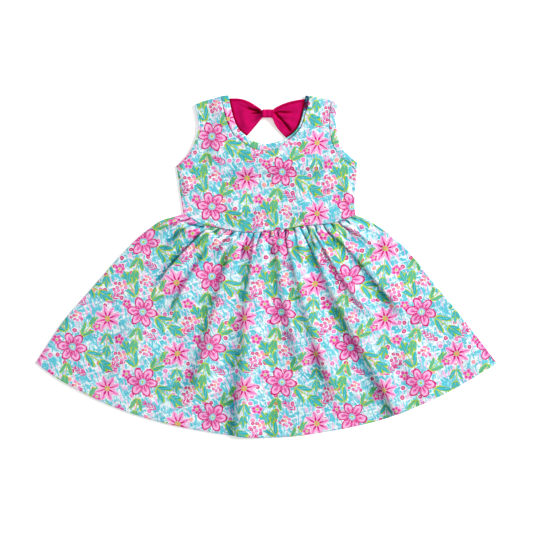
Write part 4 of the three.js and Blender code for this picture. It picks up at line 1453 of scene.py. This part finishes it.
def knot_place(u, v):
    """Places the knot's points: round the loop with u, and round the section of its wall with v. Its inner
    face gets painted shade.
    """
    centre_y, centre_z = (KNOT_Y[0] + KNOT_Y[1]) / 2, KNOT_HEIGHT / 2
    half_y, half_z = (KNOT_Y[1] - KNOT_Y[0]) / 2, KNOT_HEIGHT / 2
    section = 2 * math.pi * v
    flat = squarer(np.cos(section), 0.35)
    wall = 0.5 + 0.5 * squarer(np.sin(section), 0.6)
    x = (KNOT_X[0] + KNOT_X[1]) / 2 + flat * (KNOT_X[1] - KNOT_X[0]) / 2
    angle = 2 * math.pi * u
    ribs = KNOT_RIBS * (np.sin(x * 1.3 + 1.5 * np.sin(angle)) - 1) * wall
    grow = (wall - 1) * KNOT_WALL + ribs
    y = centre_y + (half_y + grow) * squarer(np.cos(angle), KNOT_ROUND)
    z = centre_z + (half_z + grow) * squarer(np.sin(angle), KNOT_ROUND)
    # The last value is painted shade, darkest on the inner face of the knot's wall
    return x, y, z, x, 20 * u, 0.5 * np.exp(-wall * 4)


class Stage(bpy.types.Operator):
    """Set up the pale floor, the soft lights and the camera straight above"""

    bl_idname = "dress.stage"
    bl_label = "Stage"

    def execute(self, context):
        stage = context.scene.dress_stage
        bm = bmesh.new()
        bmesh.ops.create_grid(bm, x_segments=1, y_segments=1, size=FLOOR_HALF)
        mesh = bpy.data.meshes.new("floor")
        bm.to_mesh(mesh)
        bm.free()
        floor = bpy.data.objects.new("floor", mesh)
        floor.location.z = FLOOR_LEVEL
        context.scene.collection.objects.link(floor)
        paper = bpy.data.materials.new("white_paper")
        paper.use_nodes = True
        shader = paper.node_tree.nodes["Principled BSDF"]
        for name, value in {
            "Base Color": linear("FAFAFA"), "Roughness": 0.9, "Specular IOR Level": 0.1,
            "Emission Color": linear("FFFFFF"), "Emission Strength": stage.glow,
        }.items():
            shader.inputs[name].default_value = value
        mesh.materials.append(paper)
        for name, power, (size, spot) in (
            ("key_light", stage.key, KEY_LIGHT), ("fill_light", stage.fill, FILL_LIGHT),
        ):
            light = bpy.data.lights.new(name, "AREA")
            light.energy = power
            light.size = size
            lamp = bpy.data.objects.new(name, light)
            lamp.location = spot
            lamp.rotation_euler = Vector(spot).to_track_quat("Z", "Y").to_euler()
            context.scene.collection.objects.link(lamp)
        world = bpy.data.worlds.new("white_room")
        world.use_nodes = True
        world.node_tree.nodes["Background"].inputs[0].default_value = (1, 1, 1, 1)
        world.node_tree.nodes["Background"].inputs[1].default_value = stage.sky
        context.scene.world = world
        context.scene.view_settings.view_transform = "Standard"
        camera = bpy.data.cameras.new("camera")
        camera.lens = LENS
        camera.sensor_width = SENSOR
        eye = bpy.data.objects.new("camera", camera)
        eye.location = (0, 0, SEEN_WIDTH * LENS / SENSOR + SEEN_LEVEL)
        context.scene.collection.objects.link(eye)
        context.scene.camera = eye
        return {"FINISHED"}


class DressPanel(bpy.types.Panel):
    """Lists the steps that build the dress"""

    bl_idname = "VIEW3D_PT_dress"
    bl_label = "Dress"
    bl_space_type = "VIEW_3D"
    bl_region_type = "UI"
    bl_category = "Dress"

    def draw(self, context):
        for step in STEPS:
            self.layout.operator(step.bl_idname)
        for group in (context.scene.dress_sizes, context.scene.dress_colours, context.scene.dress_stage):
            for name in group.__annotations__:
                self.layout.prop(group, name)


STEPS = (Stage, BackSkirt, BackBodice, FrontSkirt, FrontBodice, NeckBands, ArmholeBands, Bow)
GROUPS = {"dress_sizes": DressSizes, "dress_colours": DressColours, "dress_stage": DressStage}


def register():
    """Adds the classes and the scene's settings."""
    for one in (*GROUPS.values(), *STEPS, DressPanel):
        bpy.utils.register_class(one)
    for name, group in GROUPS.items():
        setattr(bpy.types.Scene, name, bpy.props.PointerProperty(type=group))


def unregister():
    """Takes the classes and settings away again."""
    for name in GROUPS:
        delattr(bpy.types.Scene, name)
    for one in reversed((*GROUPS.values(), *STEPS, DressPanel)):
        bpy.utils.unregister_class(one)


def main():
    """Builds the dress."""
    register()
    bpy.ops.dress.stage()
    bpy.ops.dress.back_skirt()
    bpy.ops.dress.back_bodice()
    bpy.ops.dress.front_skirt()
    bpy.ops.dress.front_bodice()
    bpy.ops.dress.neck_bands()
    bpy.ops.dress.armhole_bands()
    bpy.ops.dress.bow()
    bpy.context.view_layer.update()


if __name__ == "__main__":
    main()
